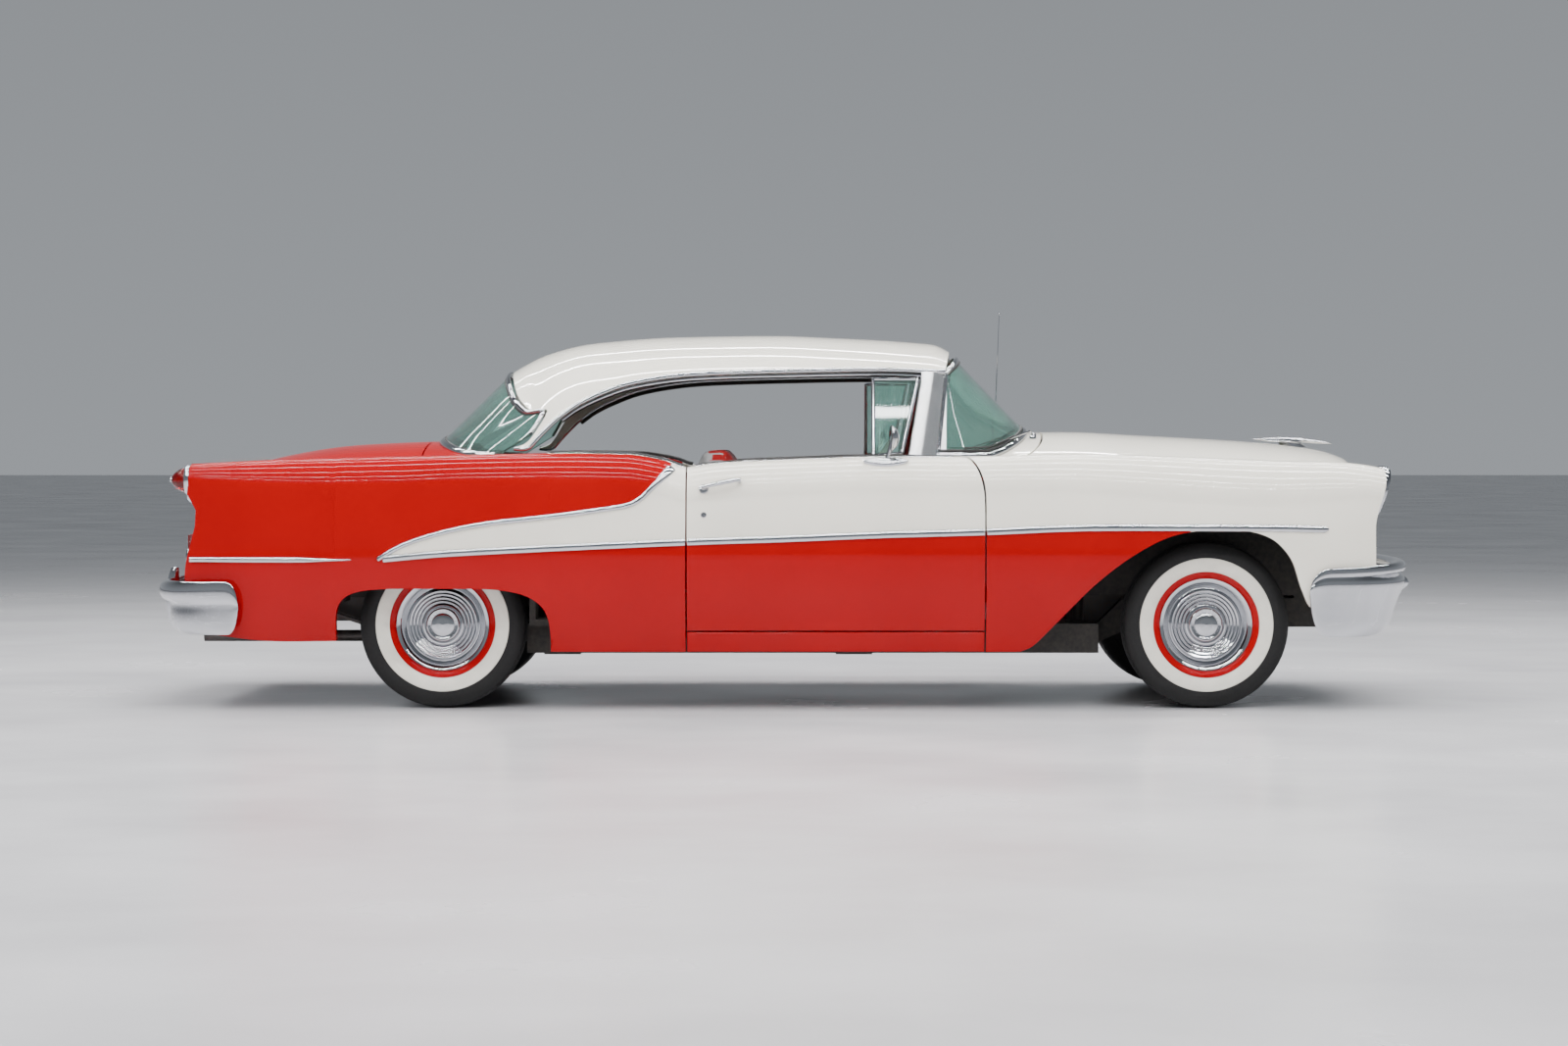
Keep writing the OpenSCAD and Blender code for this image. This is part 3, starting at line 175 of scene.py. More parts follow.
# where the two-tone line leaves the rear wheel arch, and the ivory flash above it ends
FLASH_X, FLASH_END = -1632, -455
TRIM = [(FLASH_X, 609), (-1337, 634), (-393, 679), (0, 692), (393, 708), (786, 719), (1180, 735),
        (1573, 737), (1966, 735), (2192, 730)]
SWEEP = [(FLASH_X, 609), (-1596, 632), (-1537, 664), (-1458, 693), (-1338, 726), (-1178, 755), (-1016, 773),
         (-855, 792), (-695, 815), (-646, 823), (-599, 839), (-566, 863), (-534, 895), (-494, 935),
         (FLASH_END, 975)]


def trim_z(x):
    return curve_at(TRIM, min(max(x, FLASH_X), 2192))


def sweep_z(x):
    return curve_at(SWEEP, max(x, FLASH_X)) if x < FLASH_END else 2000


def row_params(x, z_lo):
    """Rows up the side, 0..1 to the shoulder and 1..2 over it, on the paint lines."""
    zs = crown_z(x) - shoulder_h(x)

    def at(z):
        if z <= zs:
            return (z - z_lo) / (zs - z_lo)
        return 1 + math.asin(min((z - zs) / shoulder_h(x), 0.99)) / (math.pi / 2)

    u1 = min(max(at(trim_z(x)), 0.02), 0.9)
    u2 = min(max(at(sweep_z(x)), u1 + 0.003), 1.88)
    return steps(0, u1, 14) + steps(u1, u2, 26)[1:] + steps(u2, 2, 14)[1:]


def column(x, z_lo, edge_y, edge_z, t=0.0):
    h, w = shoulder_h(x), shoulder_w(x)
    zs = crown_z(x) - h
    ys = side_y(x, zs)
    out = []
    for u in row_params(x, z_lo):
        if u <= 1:
            z = mix(z_lo, zs, u)
            out.append((x, -(side_y(x, z) - t), z))
        else:
            a = math.pi / 2 * (u - 1)
            out.append((x, -(ys - t - (w - t) * (1 - math.cos(a))), zs + (h - t) * math.sin(a)))
    last = out[-1]
    for k in (0.35, 0.7, 1.0):
        out.append((x, mix(last[1], -edge_y, k), mix(last[2], edge_z - t, k)))
    return out


def flat_column(x, z_lo, y_in, top_in):
    zs = crown_z(x) - shoulder_h(x)
    out = []
    for u in row_params(x, z_lo):
        out.append((x, -y_in, mix(z_lo, zs, u) if u <= 1 else mix(zs, top_in, 0.8 * (u - 1))))
    return out + [(x, -y_in, mix(zs, top_in, k)) for k in (0.87, 0.94, 1.0)]


def bend_end(grid, x_end, reach, shift):
    return [[(p[0] + shift(p[2]) * clamp01(1 - abs(p[0] - x_end) / reach) ** 1.5, p[1], p[2]) for p in col]
            for col in grid]


def door_corner(z):
    return -84 * (1 - math.sqrt(1 - clamp01((z - (BELT - 192)) / 190) ** 2))


def fender_corner(z):
    return (2.5 * clamp01((z - (BELT - 192)) / 80)
            + max(-84, -92.5 * (1 - math.sqrt(1 - clamp01((z - (BELT - 192)) / 198.5) ** 2))))


def nose_shift(z):
    """The front of the fender leans back below the lamp brow."""
    return -50 * (1 - smooth((z - 730) / 215))


TAIL_PTS = [(SILL, 30), (520, -9), (590, -5), (690, 19), (790, 39), (830, 20), (850, 0), (BELT, 8)]


def tail_edge(z):
    return curve_at(TAIL_PTS, z)


COWL_BACK, COWL_LEN, COWL_HALF = XF - 1122, 493, 755


def cowl_edge_y(x):
    return COWL_HALF * pw(1 - pw(clamp01((x - COWL_BACK) / COWL_LEN), 1 / 0.3), 0.25)


def cowl_edge_x(y):
    return COWL_BACK + COWL_LEN * pw(1 - min(abs(y) / COWL_HALF, 1) ** 4, 0.3)


HOOD_PTS = [(DOOR_FRONT, 96), (XF - 640, 104), (XF - 455, 104), (XF - 246, 93), (XF + 173, 70),
            (XF + 383, 53), (XF + 509, 37), (XF + 572, 24), (XF + 626, 3), (HOOD_NOSE, -30)]


def top_z(x, y):
    s = abs(y) / HOOD_HALF
    edge = crown_z(x) - 8
    if s < 1:
        return mix(edge, BELT + curve_at(HOOD_PTS, x), 1 - s ** 2.4)
    return mix(edge, crown_z(x), clamp01((abs(y) - HOOD_HALF) / (crown_y(x) - HOOD_HALF)))


FENDER_LOW = [(XF - 761, SILL), (XF - 710, SILL + 23), (XF - 612, 357), (XF - 455, 514), (XF - 297, 632),
              (XF - 140, 707), (XF + 60, 729), (XF + 180, 717), (XF + 253, 688), (XF + 300, 645),
              (XF + 335, 590), (XF + 368, 490), (XF + 412, 416), (XF + 436, 520), (XF + 456, 562),
              (XF + 480, 572), (XF + 540, 574), (FENDER_FRONT, 576)]


def fender_low(x):
    return SILL if x < XF - 761 else curve_at(FENDER_LOW, x)


ARCH_X, ARCH_A, ARCH_TOP = XR + 13, 433, 492


def arch_n(s):
    return 5.2 if s < 0 else 3.8


def arch_station(a):
    s = sgn(a)
    return ARCH_X + s * ARCH_A * pw(math.sin(math.radians(abs(a))), 2 / arch_n(s))


def quarter_low(x):
    if x <= ARCH_X - ARCH_A:
        return curve_at([(TAIL_X, 314), (XR - 700, 279), (ARCH_X - ARCH_A, 279)], x)
    if x >= ARCH_X + ARCH_A:
        return SILL
    d = (x - ARCH_X) / ARCH_A
    n = arch_n(sgn(d))
    base = 279 if d < 0 else SILL
    return base + (ARCH_TOP - base) * pw(1 - pw(abs(d), n), 1 / n)


DECK_PTS = [(X_REAR + 130, 60), (X_REAR + 260, -35), (X_REAR + 353, 0), (X_REAR + 487, 35), (XR - 501, 51),
            (XR - 291, 60), (LID_FRONT, 64), (XR + 400, 66)]
BASE_X, BASE_LEN = XR + 286, 355


def quarter_edge_y(x):
    share = clamp01((x - LID_FRONT) / (BASE_X - LID_FRONT))
    return mix(LID_HALF, INNER_HALF - GAP, share) + GAP


LID_PATH = [(LID_FRONT - GAP - 4, BELT + 64), (XR - 291, BELT + 57), (XR - 501, BELT + 42),
            (X_REAR + 487, BELT + 6), (X_REAR + 370, BELT - 28), (X_REAR + 280, BELT - 70),
            (X_REAR + 222, BELT - 132), (X_REAR + 194, BELT - 215), (X_REAR + 187, BELT - 320),
            (X_REAR + 190, BELT - 420)]
LID_DROP = [73, 66, 58, 45, 34, 26, 20, 16, 14, 12]


def lid_param(i):
    """Point, normal and drop at a fractional index along the lid's path."""
    keys_x = [(k, p[0]) for k, p in enumerate(LID_PATH)]
    keys_z = [(k, p[1]) for k, p in enumerate(LID_PATH)]
    keys_d = [(k, d) for k, d in enumerate(LID_DROP)]
    e = 0.05
    a = (curve_at(keys_x, i - e), curve_at(keys_z, i - e))
    b = (curve_at(keys_x, i + e), curve_at(keys_z, i + e))
    dx, dz = b[0] - a[0], b[1] - a[1]
    n = math.hypot(dx, dz)
    return curve_at(keys_x, i), curve_at(keys_z, i), dz / n, -dx / n, curve_at(keys_d, i)


def lid_point(i, s, t):
    x, z, nx, nz, drop = lid_param(i)
    k = -(drop * abs(s) ** 2.4) - t
    return (x + nx * k, s * LID_HALF, z + nz * k)


LID_EDGE = [(lid_point(i, 1, 0)[0], lid_point(i, 1, 0)[2]) for i in range(len(LID_PATH) - 3, -1, -1)]


def quarter_edge_z(x):
    return curve_at(LID_EDGE, x) if x < LID_FRONT - GAP else crown_z(x) - 8


def base_xy(v):
    return (BASE_X - BASE_LEN * pw(1 - abs(v) ** 3, 0.6), (INNER_HALF - 1) * v)


def deck_z(x, y):
    s = min(abs(y) / quarter_edge_y(x), 1)
    return mix(BELT + curve_at(DECK_PTS, x), crown_z(x) - 10, s ** 2.4)


ROOF_MID = [(XR + 245, GH - 146), (XR + 304, GH - 112), (XR + 356, GH - 86), (XR + 416, GH - 65),
            (XR + 476, GH - 48), (XR + 547, GH - 33), (XR + 647, GH - 22), (XR + 861, GH - 5),
            (XR + 1218, GH + 3), (XR + 1386, GH + 3), (XR + 1587, GH - 5), (XR + 1807, GH - 16),
            (XR + 1952, GH - 27), (XR + 2030, GH - 37), (XR + 2087, GH - 66)]
RAIL = [(BASE_X, 37), (XR + 345, 37), (XR + 382, 77), (XR + 422, 119), (XR + 462, 157), (XR + 502, 188),
        (XR + 542, 216), (XR + 623, 256), (XR + 743, 300), (XR + 904, 330), (XR + 1065, 344),
        (XR + 1386, 354), (XR + 1788, 360), (XR + 2040, 352)]
ROOF_EDGE = [(BASE_X, 788), (XR + 400, 778), (XR + 600, 716), (XR + 900, 672), (XR + 1300, 660),
             (XR + 1700, 655), (XR + 2040, 628)]
ROOF_END = [(0, 245), (0.4, 251), (0.7, 286), (0.8, 324), (0.87, 376), (0.915, 419), (0.95, 401),
            (0.975, 356), (1, 286)]


def roof_front_x(v):
    return XR + 2050 + 37 * (1 - abs(v) ** 2)


def roof_point(x, v, t):
    e, m, s = BELT + curve_at(RAIL, x), BELT + curve_at(ROOF_MID, x), abs(v)
    g = pw(1 - s ** 2.5, 0.9)
    return (x, sgn(v) * s * (curve_at(ROOF_EDGE, x) - t), mix(e, m - t, g))


def ws_base(t):
    a = math.radians(90 * t)
    return (XF - 1122 + 436 * pw(math.cos(a), 0.84), 715 * sgn(a) * pw(math.sin(abs(a)), 0.625))


def ws_point(t, k, d):
    b = ws_base(t)
    bz = top_z(b[0], b[1]) + 1.95
    c = math.cos(math.radians(90 * t))
    s = math.sin(math.radians(90 * abs(t)))
    q = (XF - 1054 + 62 * pw(c, 0.84), 600 * sgn(t) * pw(s, 0.625))
    qz = BELT + mix(344.4, 416, pw(c, 0.9))
    return (mix(b[0], q[0], k) - d * c, mix(b[1], q[1], k) - d * math.sin(math.radians(90 * t)),
            mix(bz, qz, k))


# ---------------------------------------------------------------- materials
def new_material(name, color, metallic=0.0, rough=0.4, spread=0.06, scale=6.0, tint=0.04, bump=0.0,
                 bump_scale=200.0, coat=0.0, coat_rough=0.03, shine=0.5, coat_ior=1.5, wear=0.0,
                 wear_color=(0.3, 0.28, 0.25), stretch=(1, 1, 1)):
    """Procedural surface: cloudy colour and roughness, with a fine bump."""
    m = bpy.data.materials.new(name)
    m.use_nodes = True
    nt = m.node_tree
    b = nt.nodes["Principled BSDF"]
    b.inputs["Metallic"].default_value = metallic
    b.inputs["Coat Weight"].default_value = coat
    b.inputs["Coat Roughness"].default_value = coat_rough
    b.inputs["Coat IOR"].default_value = coat_ior
    b.inputs["Specular IOR Level"].default_value = shine
    tc = nt.nodes.new("ShaderNodeTexCoord")
    mp = nt.nodes.new("ShaderNodeMapping")
    mp.inputs["Scale"].default_value = stretch
    nt.links.new(tc.outputs["Object"], mp.inputs["Vector"])
    n1 = nt.nodes.new("ShaderNodeTexNoise")
    n1.inputs["Scale"].default_value = scale
    n1.inputs["Detail"].default_value = 5
    nt.links.new(mp.outputs["Vector"], n1.inputs["Vector"])
    ramp = nt.nodes.new("ShaderNodeValToRGB")
    lo = [max(c * (1 - tint), 0) for c in color[:3]] + [1]
    hi = [min(c * (1 + tint), 1) for c in color[:3]] + [1]
    ramp.color_ramp.elements[0].color = lo
    ramp.color_ramp.elements[0].position = 0.3
    ramp.color_ramp.elements[1].color = hi
    ramp.color_ramp.elements[1].position = 0.7
    nt.links.new(n1.outputs["Fac"], ramp.inputs["Fac"])
    color_out = ramp.outputs["Color"]
    if wear:
        n3 = nt.nodes.new("ShaderNodeTexNoise")
        n3.inputs["Scale"].default_value = scale * 7
        n3.inputs["Detail"].default_value = 8
        nt.links.new(mp.outputs["Vector"], n3.inputs["Vector"])
        wr = nt.nodes.new("ShaderNodeMapRange")
        wr.inputs["From Min"].default_value = 0.26
        wr.inputs["From Max"].default_value = 0.8
        wr.inputs["To Max"].default_value = wear
        nt.links.new(n3.outputs["Fac"], wr.inputs["Value"])
        mx = nt.nodes.new("ShaderNodeMix")
        mx.data_type = "RGBA"
        mx.inputs["B"].default_value = (*wear_color, 1)
        nt.links.new(wr.outputs["Result"], mx.inputs["Factor"])
        nt.links.new(color_out, mx.inputs["A"])
        color_out = mx.outputs["Result"]
    nt.links.new(color_out, b.inputs["Base Color"])
    rr = nt.nodes.new("ShaderNodeMapRange")
    rr.inputs["To Min"].default_value = max(rough - spread, 0.01)
    rr.inputs["To Max"].default_value = min(rough + spread, 1)
    nt.links.new(n1.outputs["Fac"], rr.inputs["Value"])
    nt.links.new(rr.outputs["Result"], b.inputs["Roughness"])
    if bump:
        n2 = nt.nodes.new("ShaderNodeTexNoise")
        n2.inputs["Scale"].default_value = bump_scale
        n2.inputs["Detail"].default_value = 3
        nt.links.new(mp.outputs["Vector"], n2.inputs["Vector"])
        bp = nt.nodes.new("ShaderNodeBump")
        bp.inputs["Strength"].default_value = bump
        bp.inputs["Distance"].default_value = 0.001
        nt.links.new(n2.outputs["Fac"], bp.inputs["Height"])
        nt.links.new(bp.outputs["Normal"], b.inputs["Normal"])
    return m


def weave_material(name, color, dark, pitch=1400.0):
    """Woven cloth: two crossed waves drive colour and bump."""
    m = new_material(name, color, rough=0.85, spread=0.08, scale=14, tint=0.1)
    nt = m.node_tree
    b = nt.nodes["Principled BSDF"]
    tc = [n for n in nt.nodes if n.type == "TEX_COORD"][0]
    waves = []
    for axis in ("X", "Y"):
        w = nt.nodes.new("ShaderNodeTexWave")
        w.bands_direction = axis
        w.inputs["Scale"].default_value = pitch / 20
        w.inputs["Distortion"].default_value = 0.6
        nt.links.new(tc.outputs["Object"], w.inputs["Vector"])
        waves.append(w)
    mul = nt.nodes.new("ShaderNodeMath")
    mul.operation = "MULTIPLY"
    nt.links.new(waves[0].outputs["Fac"], mul.inputs[0])
    nt.links.new(waves[1].outputs["Fac"], mul.inputs[1])
    mx = nt.nodes.new("ShaderNodeMix")
    mx.data_type = "RGBA"
    old = b.inputs["Base Color"].links[0].from_socket
    nt.links.new(mul.outputs[0], mx.inputs["Factor"])
    mx.inputs["A"].default_value = (*dark, 1)
    nt.links.new(old, mx.inputs["B"])
    nt.links.new(mx.outputs["Result"], b.inputs["Base Color"])
    bp = nt.nodes.new("ShaderNodeBump")
    bp.inputs["Strength"].default_value = 0.35
    bp.inputs["Distance"].default_value = 0.0008
    nt.links.new(mul.outputs[0], bp.inputs["Height"])
    nt.links.new(bp.outputs["Normal"], b.inputs["Normal"])
    b.inputs["Sheen Weight"].default_value = 0.25
    return m


def glass_material(name, color, rough=0.02):
    m = new_material(name, color, rough=rough, spread=0.012, scale=3, tint=0.03, bump=0.01, bump_scale=18)
    b = m.node_tree.nodes["Principled BSDF"]
    b.inputs["Transmission Weight"].default_value = 0.94
    b.inputs["Specular IOR Level"].default_value = 0.3
    b.inputs["IOR"].default_value = 1.45
    return m


RED_RGB = (0.33, 0.0004, 0.003)
IVORY_RGB = (0.86, 0.82, 0.72)
M = {"red": new_material("red_paint", RED_RGB, rough=0.45, spread=0.07, scale=3.0, tint=0.05, bump=0.05,
                         bump_scale=380, coat=0.6, coat_rough=0.02, shine=0.0, coat_ior=1.36),
     "ivory": new_material("ivory_paint", IVORY_RGB, rough=0.4, spread=0.07, scale=3.0, tint=0.025,
                           bump=0.05, bump_scale=380, coat=1.0, coat_rough=0.02, shine=0.1),
     "chrome": new_material("bright_chrome", (0.55, 0.56, 0.585), metallic=1.0, rough=0.07, spread=0.035,
                            scale=9, tint=0.03, bump=0.03, bump_scale=60),
     "satin": new_material("brushed_bright", (0.86, 0.87, 0.88), metallic=1.0, rough=0.3, spread=0.06,
                           scale=22, tint=0.05, bump=0.04, bump_scale=160),
     "chrome_dull": new_material("worn_chrome", (0.68, 0.69, 0.70), metallic=1.0, rough=0.2, spread=0.08,
                                 scale=20, tint=0.06, bump=0.05, bump_scale=150, wear=0.35,
                                 wear_color=(0.35, 0.33, 0.3)), "dark": new_material("recess_painted_shade",
        # painted shade: this near-black stands in for the shade on inner faces and undersides of panels, hood
        # ribs, dogleg beams and the sheet behind the grille
        (0.015, 0.015, 0.016), rough=0.7, spread=0.15, scale=10, tint=0.3, bump=0.2, bump_scale=120),
     "under": new_material("underbody_black", (0.028, 0.027, 0.026), rough=0.75, spread=0.15, scale=8,
                           tint=0.35, bump=0.4, bump_scale=90, wear=0.5, wear_color=(0.10, 0.085, 0.07)),
     "steel": new_material("dark_steel", (0.10, 0.10, 0.105), metallic=0.75, rough=0.5, spread=0.15,
                           scale=14, tint=0.2, bump=0.25, bump_scale=110, wear=0.5,
                           wear_color=(0.16, 0.10, 0.06)), "rubber": new_material("tyre_rubber",
        (0.010, 0.010, 0.0105), rough=0.62, spread=0.12, scale=16, tint=0.2, bump=0.25, bump_scale=420,
        shine=0.3, wear=0.35, wear_color=(0.026, 0.025, 0.023)), "whitewall": new_material("white_wall",
        (0.80, 0.77, 0.68), rough=0.55, spread=0.1, scale=18, tint=0.05, bump=0.12, bump_scale=300,
        wear=0.2, wear_color=(0.55, 0.52, 0.46)), "seal": new_material("black_seal", (0.02, 0.02, 0.02),
        rough=0.6, spread=0.1, scale=30, tint=0.2, bump=0.15, bump_scale=300),
     "vinyl_grey": new_material("grey_vinyl", (0.33, 0.33, 0.33), rough=0.5, spread=0.1, scale=20,
                                tint=0.08, bump=0.35, bump_scale=520),
     "vinyl_red": new_material("red_vinyl", (0.34, 0.012, 0.014), rough=0.42, spread=0.1, scale=20,
                               tint=0.12, bump=0.35, bump_scale=520), "cloth": weave_material("grey_cloth",
        (0.36, 0.35, 0.34), (0.10, 0.10, 0.10)), "carpet": new_material("floor_carpet",
        (0.10, 0.012, 0.012), rough=0.95, spread=0.04, scale=40, tint=0.3, bump=0.9, bump_scale=700),
     "glass": glass_material("tinted_glass", (0.52, 0.78, 0.70)), "clear": glass_material("clear_lens",
        (0.93, 0.95, 0.95), 0.04), "lens_red": glass_material("red_lens", (0.40, 0.004, 0.006), 0.08),
     "lens_amber": glass_material("pale_lens", (0.9, 0.85, 0.7), 0.1), "dash_red": new_material("dash_red",
        (0.36, 0.01, 0.012), rough=0.35, spread=0.08, scale=6, tint=0.06, bump=0.08, bump_scale=300,
        coat=0.4), "dial": new_material("dial_face", (0.05, 0.052, 0.055), rough=0.45, spread=0.1, scale=30,
                                        tint=0.15), "wheel_ivory": new_material("steering_plastic",
        (0.70, 0.66, 0.57), rough=0.3, spread=0.08, scale=12, tint=0.06, coat=0.5),
     "headliner": new_material("headliner", (0.55, 0.53, 0.48), rough=0.9, spread=0.05, scale=20, tint=0.06,
                               bump=0.5, bump_scale=600),}


# ---------------------------------------------------------------- mesh helpers
def make(name, verts, faces, mats, body, face_mat=None, stands_for=(), slot=None, smooth_angle=35,
         mirror=False, bevel=0.0, recalc=True, segments=2):
    """A mesh piece in millimetres that rides on a body."""
    me = bpy.data.meshes.new(name)
    k = -1 if mirror else 1
    me.from_pydata([(v[0] / 1000, k * v[1] / 1000, v[2] / 1000) for v in verts], [], faces)
    for key in mats:
        me.materials.append(M[key])
    if face_mat:
        for p, idx in zip(me.polygons, face_mat):
            p.material_index = idx
    bm = bmesh.new()
    bm.from_mesh(me)
    bmesh.ops.remove_doubles(bm, verts=bm.verts, dist=2e-5)
    if recalc:
        bmesh.ops.recalc_face_normals(bm, faces=bm.faces)
    bm.to_mesh(me)
    bm.free()
    o = bpy.data.objects.new(name, me)
    bpy.context.scene.collection.objects.link(o)
    if bevel:
        b = o.modifiers.new("edge", "BEVEL")
        b.width = bevel / 1000
        b.segments = segments
        b.limit_method = "ANGLE"
        b.angle_limit = math.radians(50)
    me.shade_smooth()
    me.set_sharp_from_angle(angle=math.radians(smooth_angle))
    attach(o, body)
    if stands_for:
        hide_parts(*stands_for)
    return o


def grid_faces(nu, nv, base=0, wrap_v=False, wrap_u=False):
    f = []
    for i in range(nu - (0 if wrap_u else 1)):
        for j in range(nv - (0 if wrap_v else 1)):
            i2, j2 = (i + 1) % nu, (j + 1) % nv
            f.append((base + i * nv + j, base + i2 * nv + j, base + i2 * nv + j2, base + i * nv + j2))
    return f


def caps(n, m):
    """The two end faces of n rings of m points each."""
    return [tuple(range(m)), tuple((n - 1) * m + k for k in range(m))]


def loft(name, rows, mats, body, **kw):
    """Closed rings joined in order, with a flat face over each end."""
    n, m = len(rows), len(rows[0])
    return make(name, [p for r in rows for p in r], grid_faces(n, m, wrap_v=True) + caps(n, m), mats, body,
                **kw)


def shell(name, outer, inner, mats, body, paint=None, inner_mat=0, **kw):
    """Closed panel between two grids; paint(x, y, z) picks the outer face's material index."""
    nu, nv = len(outer), len(outer[0])
    verts = [p for r in outer for p in r] + [p for r in inner for p in r]
    faces = grid_faces(nu, nv)
    fm = []
    for f in faces:
        c = [sum(verts[i][k] for i in f) / 4 for k in range(3)]
        fm.append(paint(*c) if paint else 0)
    inner_faces = [tuple(i + nu * nv for i in f) for f in faces]
    ring = ([i * nv for i in range(nu)] + [(nu - 1) * nv + j for j in range(1, nv)]
            + [i * nv + nv - 1 for i in range(nu - 2, -1, -1)] + list(range(nv - 2, 0, -1)))
    rim = []
    rim_m = []
    for k, a in enumerate(ring):
        b = ring[(k + 1) % len(ring)]
        rim.append((a, b, b + nu * nv, a + nu * nv))
        c = [(verts[a][i] + verts[b][i]) / 2 for i in range(3)]
        rim_m.append(paint(*c) if paint else 0)
    return make(name, verts, faces + inner_faces + rim, mats, body, fm + [inner_mat] * len(inner_faces)
                + rim_m, **kw)


def tube(name, path, radii, mats, body, sides=10, **kw):
    """Round bar along points; radii is one number or one per point."""
    pts = [Vector(p) for p in path]
    n = len(pts)
    rr = radii if isinstance(radii, (list, tuple)) else [radii] * n
    verts = []
    up = Vector((0, 0, 1))
    for i, p in enumerate(pts):
        t = (pts[min(i + 1, n - 1)] - pts[max(i - 1, 0)]).normalized()
        ref = up if abs(t.z) < 0.9 else Vector((1, 0, 0))
        a = t.cross(ref).normalized()
        b = t.cross(a).normalized()
        for k in range(sides):
            w = 2 * math.pi * k / sides
            verts.append(p + (a * math.cos(w) + b * math.sin(w)) * rr[i])
    return make(name, verts, grid_faces(n, sides, wrap_v=True) + caps(n, sides), mats, body, **kw)


def revolve(profile, centre, axis, n=64, closed=False):
    """Rings of a profile [(r, h)] round an axis; returns verts, faces."""
    ax = Vector(axis).normalized()
    ref = Vector((0, 0, 1)) if abs(ax.z) < 0.9 else Vector((1, 0, 0))
    u = ax.cross(ref).normalized()
    w = ax.cross(u).normalized()
    c = Vector(centre)
    verts = []
    for r, h in profile:
        for k in range(n):
            a = 2 * math.pi * k / n
            verts.append(c + ax * h + (u * math.cos(a) + w * math.sin(a)) * max(r, 0.01))
    return verts, grid_faces(len(profile), n, wrap_v=True, wrap_u=closed)


def turned(name, profile, centre, axis, mats, body, n=64, closed=False, face_mat=None, **kw):
    verts, faces = revolve(profile, centre, axis, n, closed)
    fm = None
    if face_mat:
        fm = []
        for f in faces:
            i = f[0] // n
            a, b = profile[i], profile[(i + 1) % len(profile)]
            fm.append(face_mat((a[0] + b[0]) / 2, (a[1] + b[1]) / 2))
    return make(name, verts, faces, mats, body, fm, **kw)


def both(fn):
    """Calls fn(side name, mirror flag) for the right and the left."""
    for side, flag in (("right", False), ("left", True)):
        fn(side, flag)


# ---------------------------------------------------------------- two-tone paint
def paint_side(x, y, z):
    """0 red, 1 ivory; called as every paint function is, with all three coordinates."""
    if x < FLASH_X:
        return 0
    if z < trim_z(x):
        return 0 if x < 1637 else 1
    return 0 if z > sweep_z(x) else 1


def quarter(side, mir):
    xs = ([TAIL_X + d for d in (0, 8, 20, 35, 55, 80, 110, 145)] + steps(TAIL_X + 180, XR - 470, 22)
          + [arch_station(a) for a in list(range(-90, -60, 2)) + list(range(-60, 60, 5))
             + list(range(60, 91, 2))] + steps(ARCH_X + ARCH_A + 12, DOOR_REAR - 6, 50) + [DOOR_REAR])
    xs = sorted(set(xs) | {FLASH_X})
    outer = [column(x, quarter_low(x), quarter_edge_y(x), quarter_edge_z(x)) for x in xs]
    inner = []
    for x in xs:
        thin = column(x, quarter_low(x), quarter_edge_y(x), quarter_edge_z(x), QUARTER_T)
        flat = flat_column(x, quarter_low(x), INNER_HALF, crown_z(x) - 40)
        k = smooth((x - SEATBACK_X - 10) / 70)
        inner.append([tuple(mix(a[i], b[i], k) for i in range(3)) for a, b in zip(thin, flat)])
    shell("quarter_skin_" + side, bend_end(outer, TAIL_X, 260, tail_edge),
          bend_end(inner, TAIL_X, 260, tail_edge), ["red", "ivory", "dark"], "car_body", paint_side, 2,
          stands_for=["quarter_panel_" + side], slot="red_paint", mirror=mir, bevel=3.0)


def fender(side, mir):
    xs = (steps(DOOR_FRONT + GAP, DOOR_FRONT + GAP + 30, 3) + steps(DOOR_FRONT + 60, XF - 330, 30)
          + steps(XF - 310, XF + 150, 20) + steps(XF + 165, XF + 412, 28) + steps(XF + 418, XF + 456, 9)
          + steps(XF + 480, FENDER_FRONT - 20, 16) + [FENDER_FRONT - 10, FENDER_FRONT])

    def top_x(x):
        return x - 84 * clamp01(1 - (x - DOOR_FRONT - GAP) / 220) ** 1.5

    def edge(x):
        tx = top_x(x)
        return max(HOOD_HALF, cowl_edge_y(tx)) + GAP + 2

    def t(x):
        return mix(PANEL_T, 12, smooth((x - FENDER_FRONT + 70) / 55))

    outer = [column(x, fender_low(x), edge(x), top_z(x, edge(x))) for x in xs]
    inner = [column(x, fender_low(x), edge(x), top_z(x, edge(x)), t(x)) for x in xs]
    e = DOOR_FRONT + GAP
    ends = [bend_end(bend_end(g, e, 220, fender_corner), FENDER_FRONT, 190, nose_shift)
            for g in (outer, inner)]
    shell("fender_skin_" + side, *ends,
          ["ivory", "red", "dark"], "car_body", lambda x, y, z: 1 - paint_side(x, y, z), 2,
          stands_for=["front_fender_" + side], mirror=mir, bevel=3.0)


def door(side, mir):
    lo = DOOR_REAR + GAP
    xs = [lo] + steps(lo + 12, DOOR_FRONT - 10, 58) + [DOOR_FRONT]
    outer = [column(x, DOOR_BOTTOM, INNER_HALF, crown_z(x) - 4) for x in xs]
    inner = []
    for x in xs:
        k = clamp01((x - lo) / (DOOR_FRONT - lo))
        inner.append([(p[0] + 26 * (1 - k), p[1], p[2]) for p in flat_column(x, DOOR_BOTTOM, INNER_HALF,
                crown_z(x) - 34)])
    shell("door_skin_" + side, bend_end(outer, DOOR_FRONT, 220, door_corner),
          bend_end(inner, DOOR_FRONT, 220, door_corner), ["ivory", "red", "vinyl_red"],
          f"door_{side}_body", lambda x, y, z: 1 - paint_side(x, y, z), 2, stands_for=["door_" + side],
          mirror=mir, bevel=3.0)


both(quarter)
both(fender)
both(door)


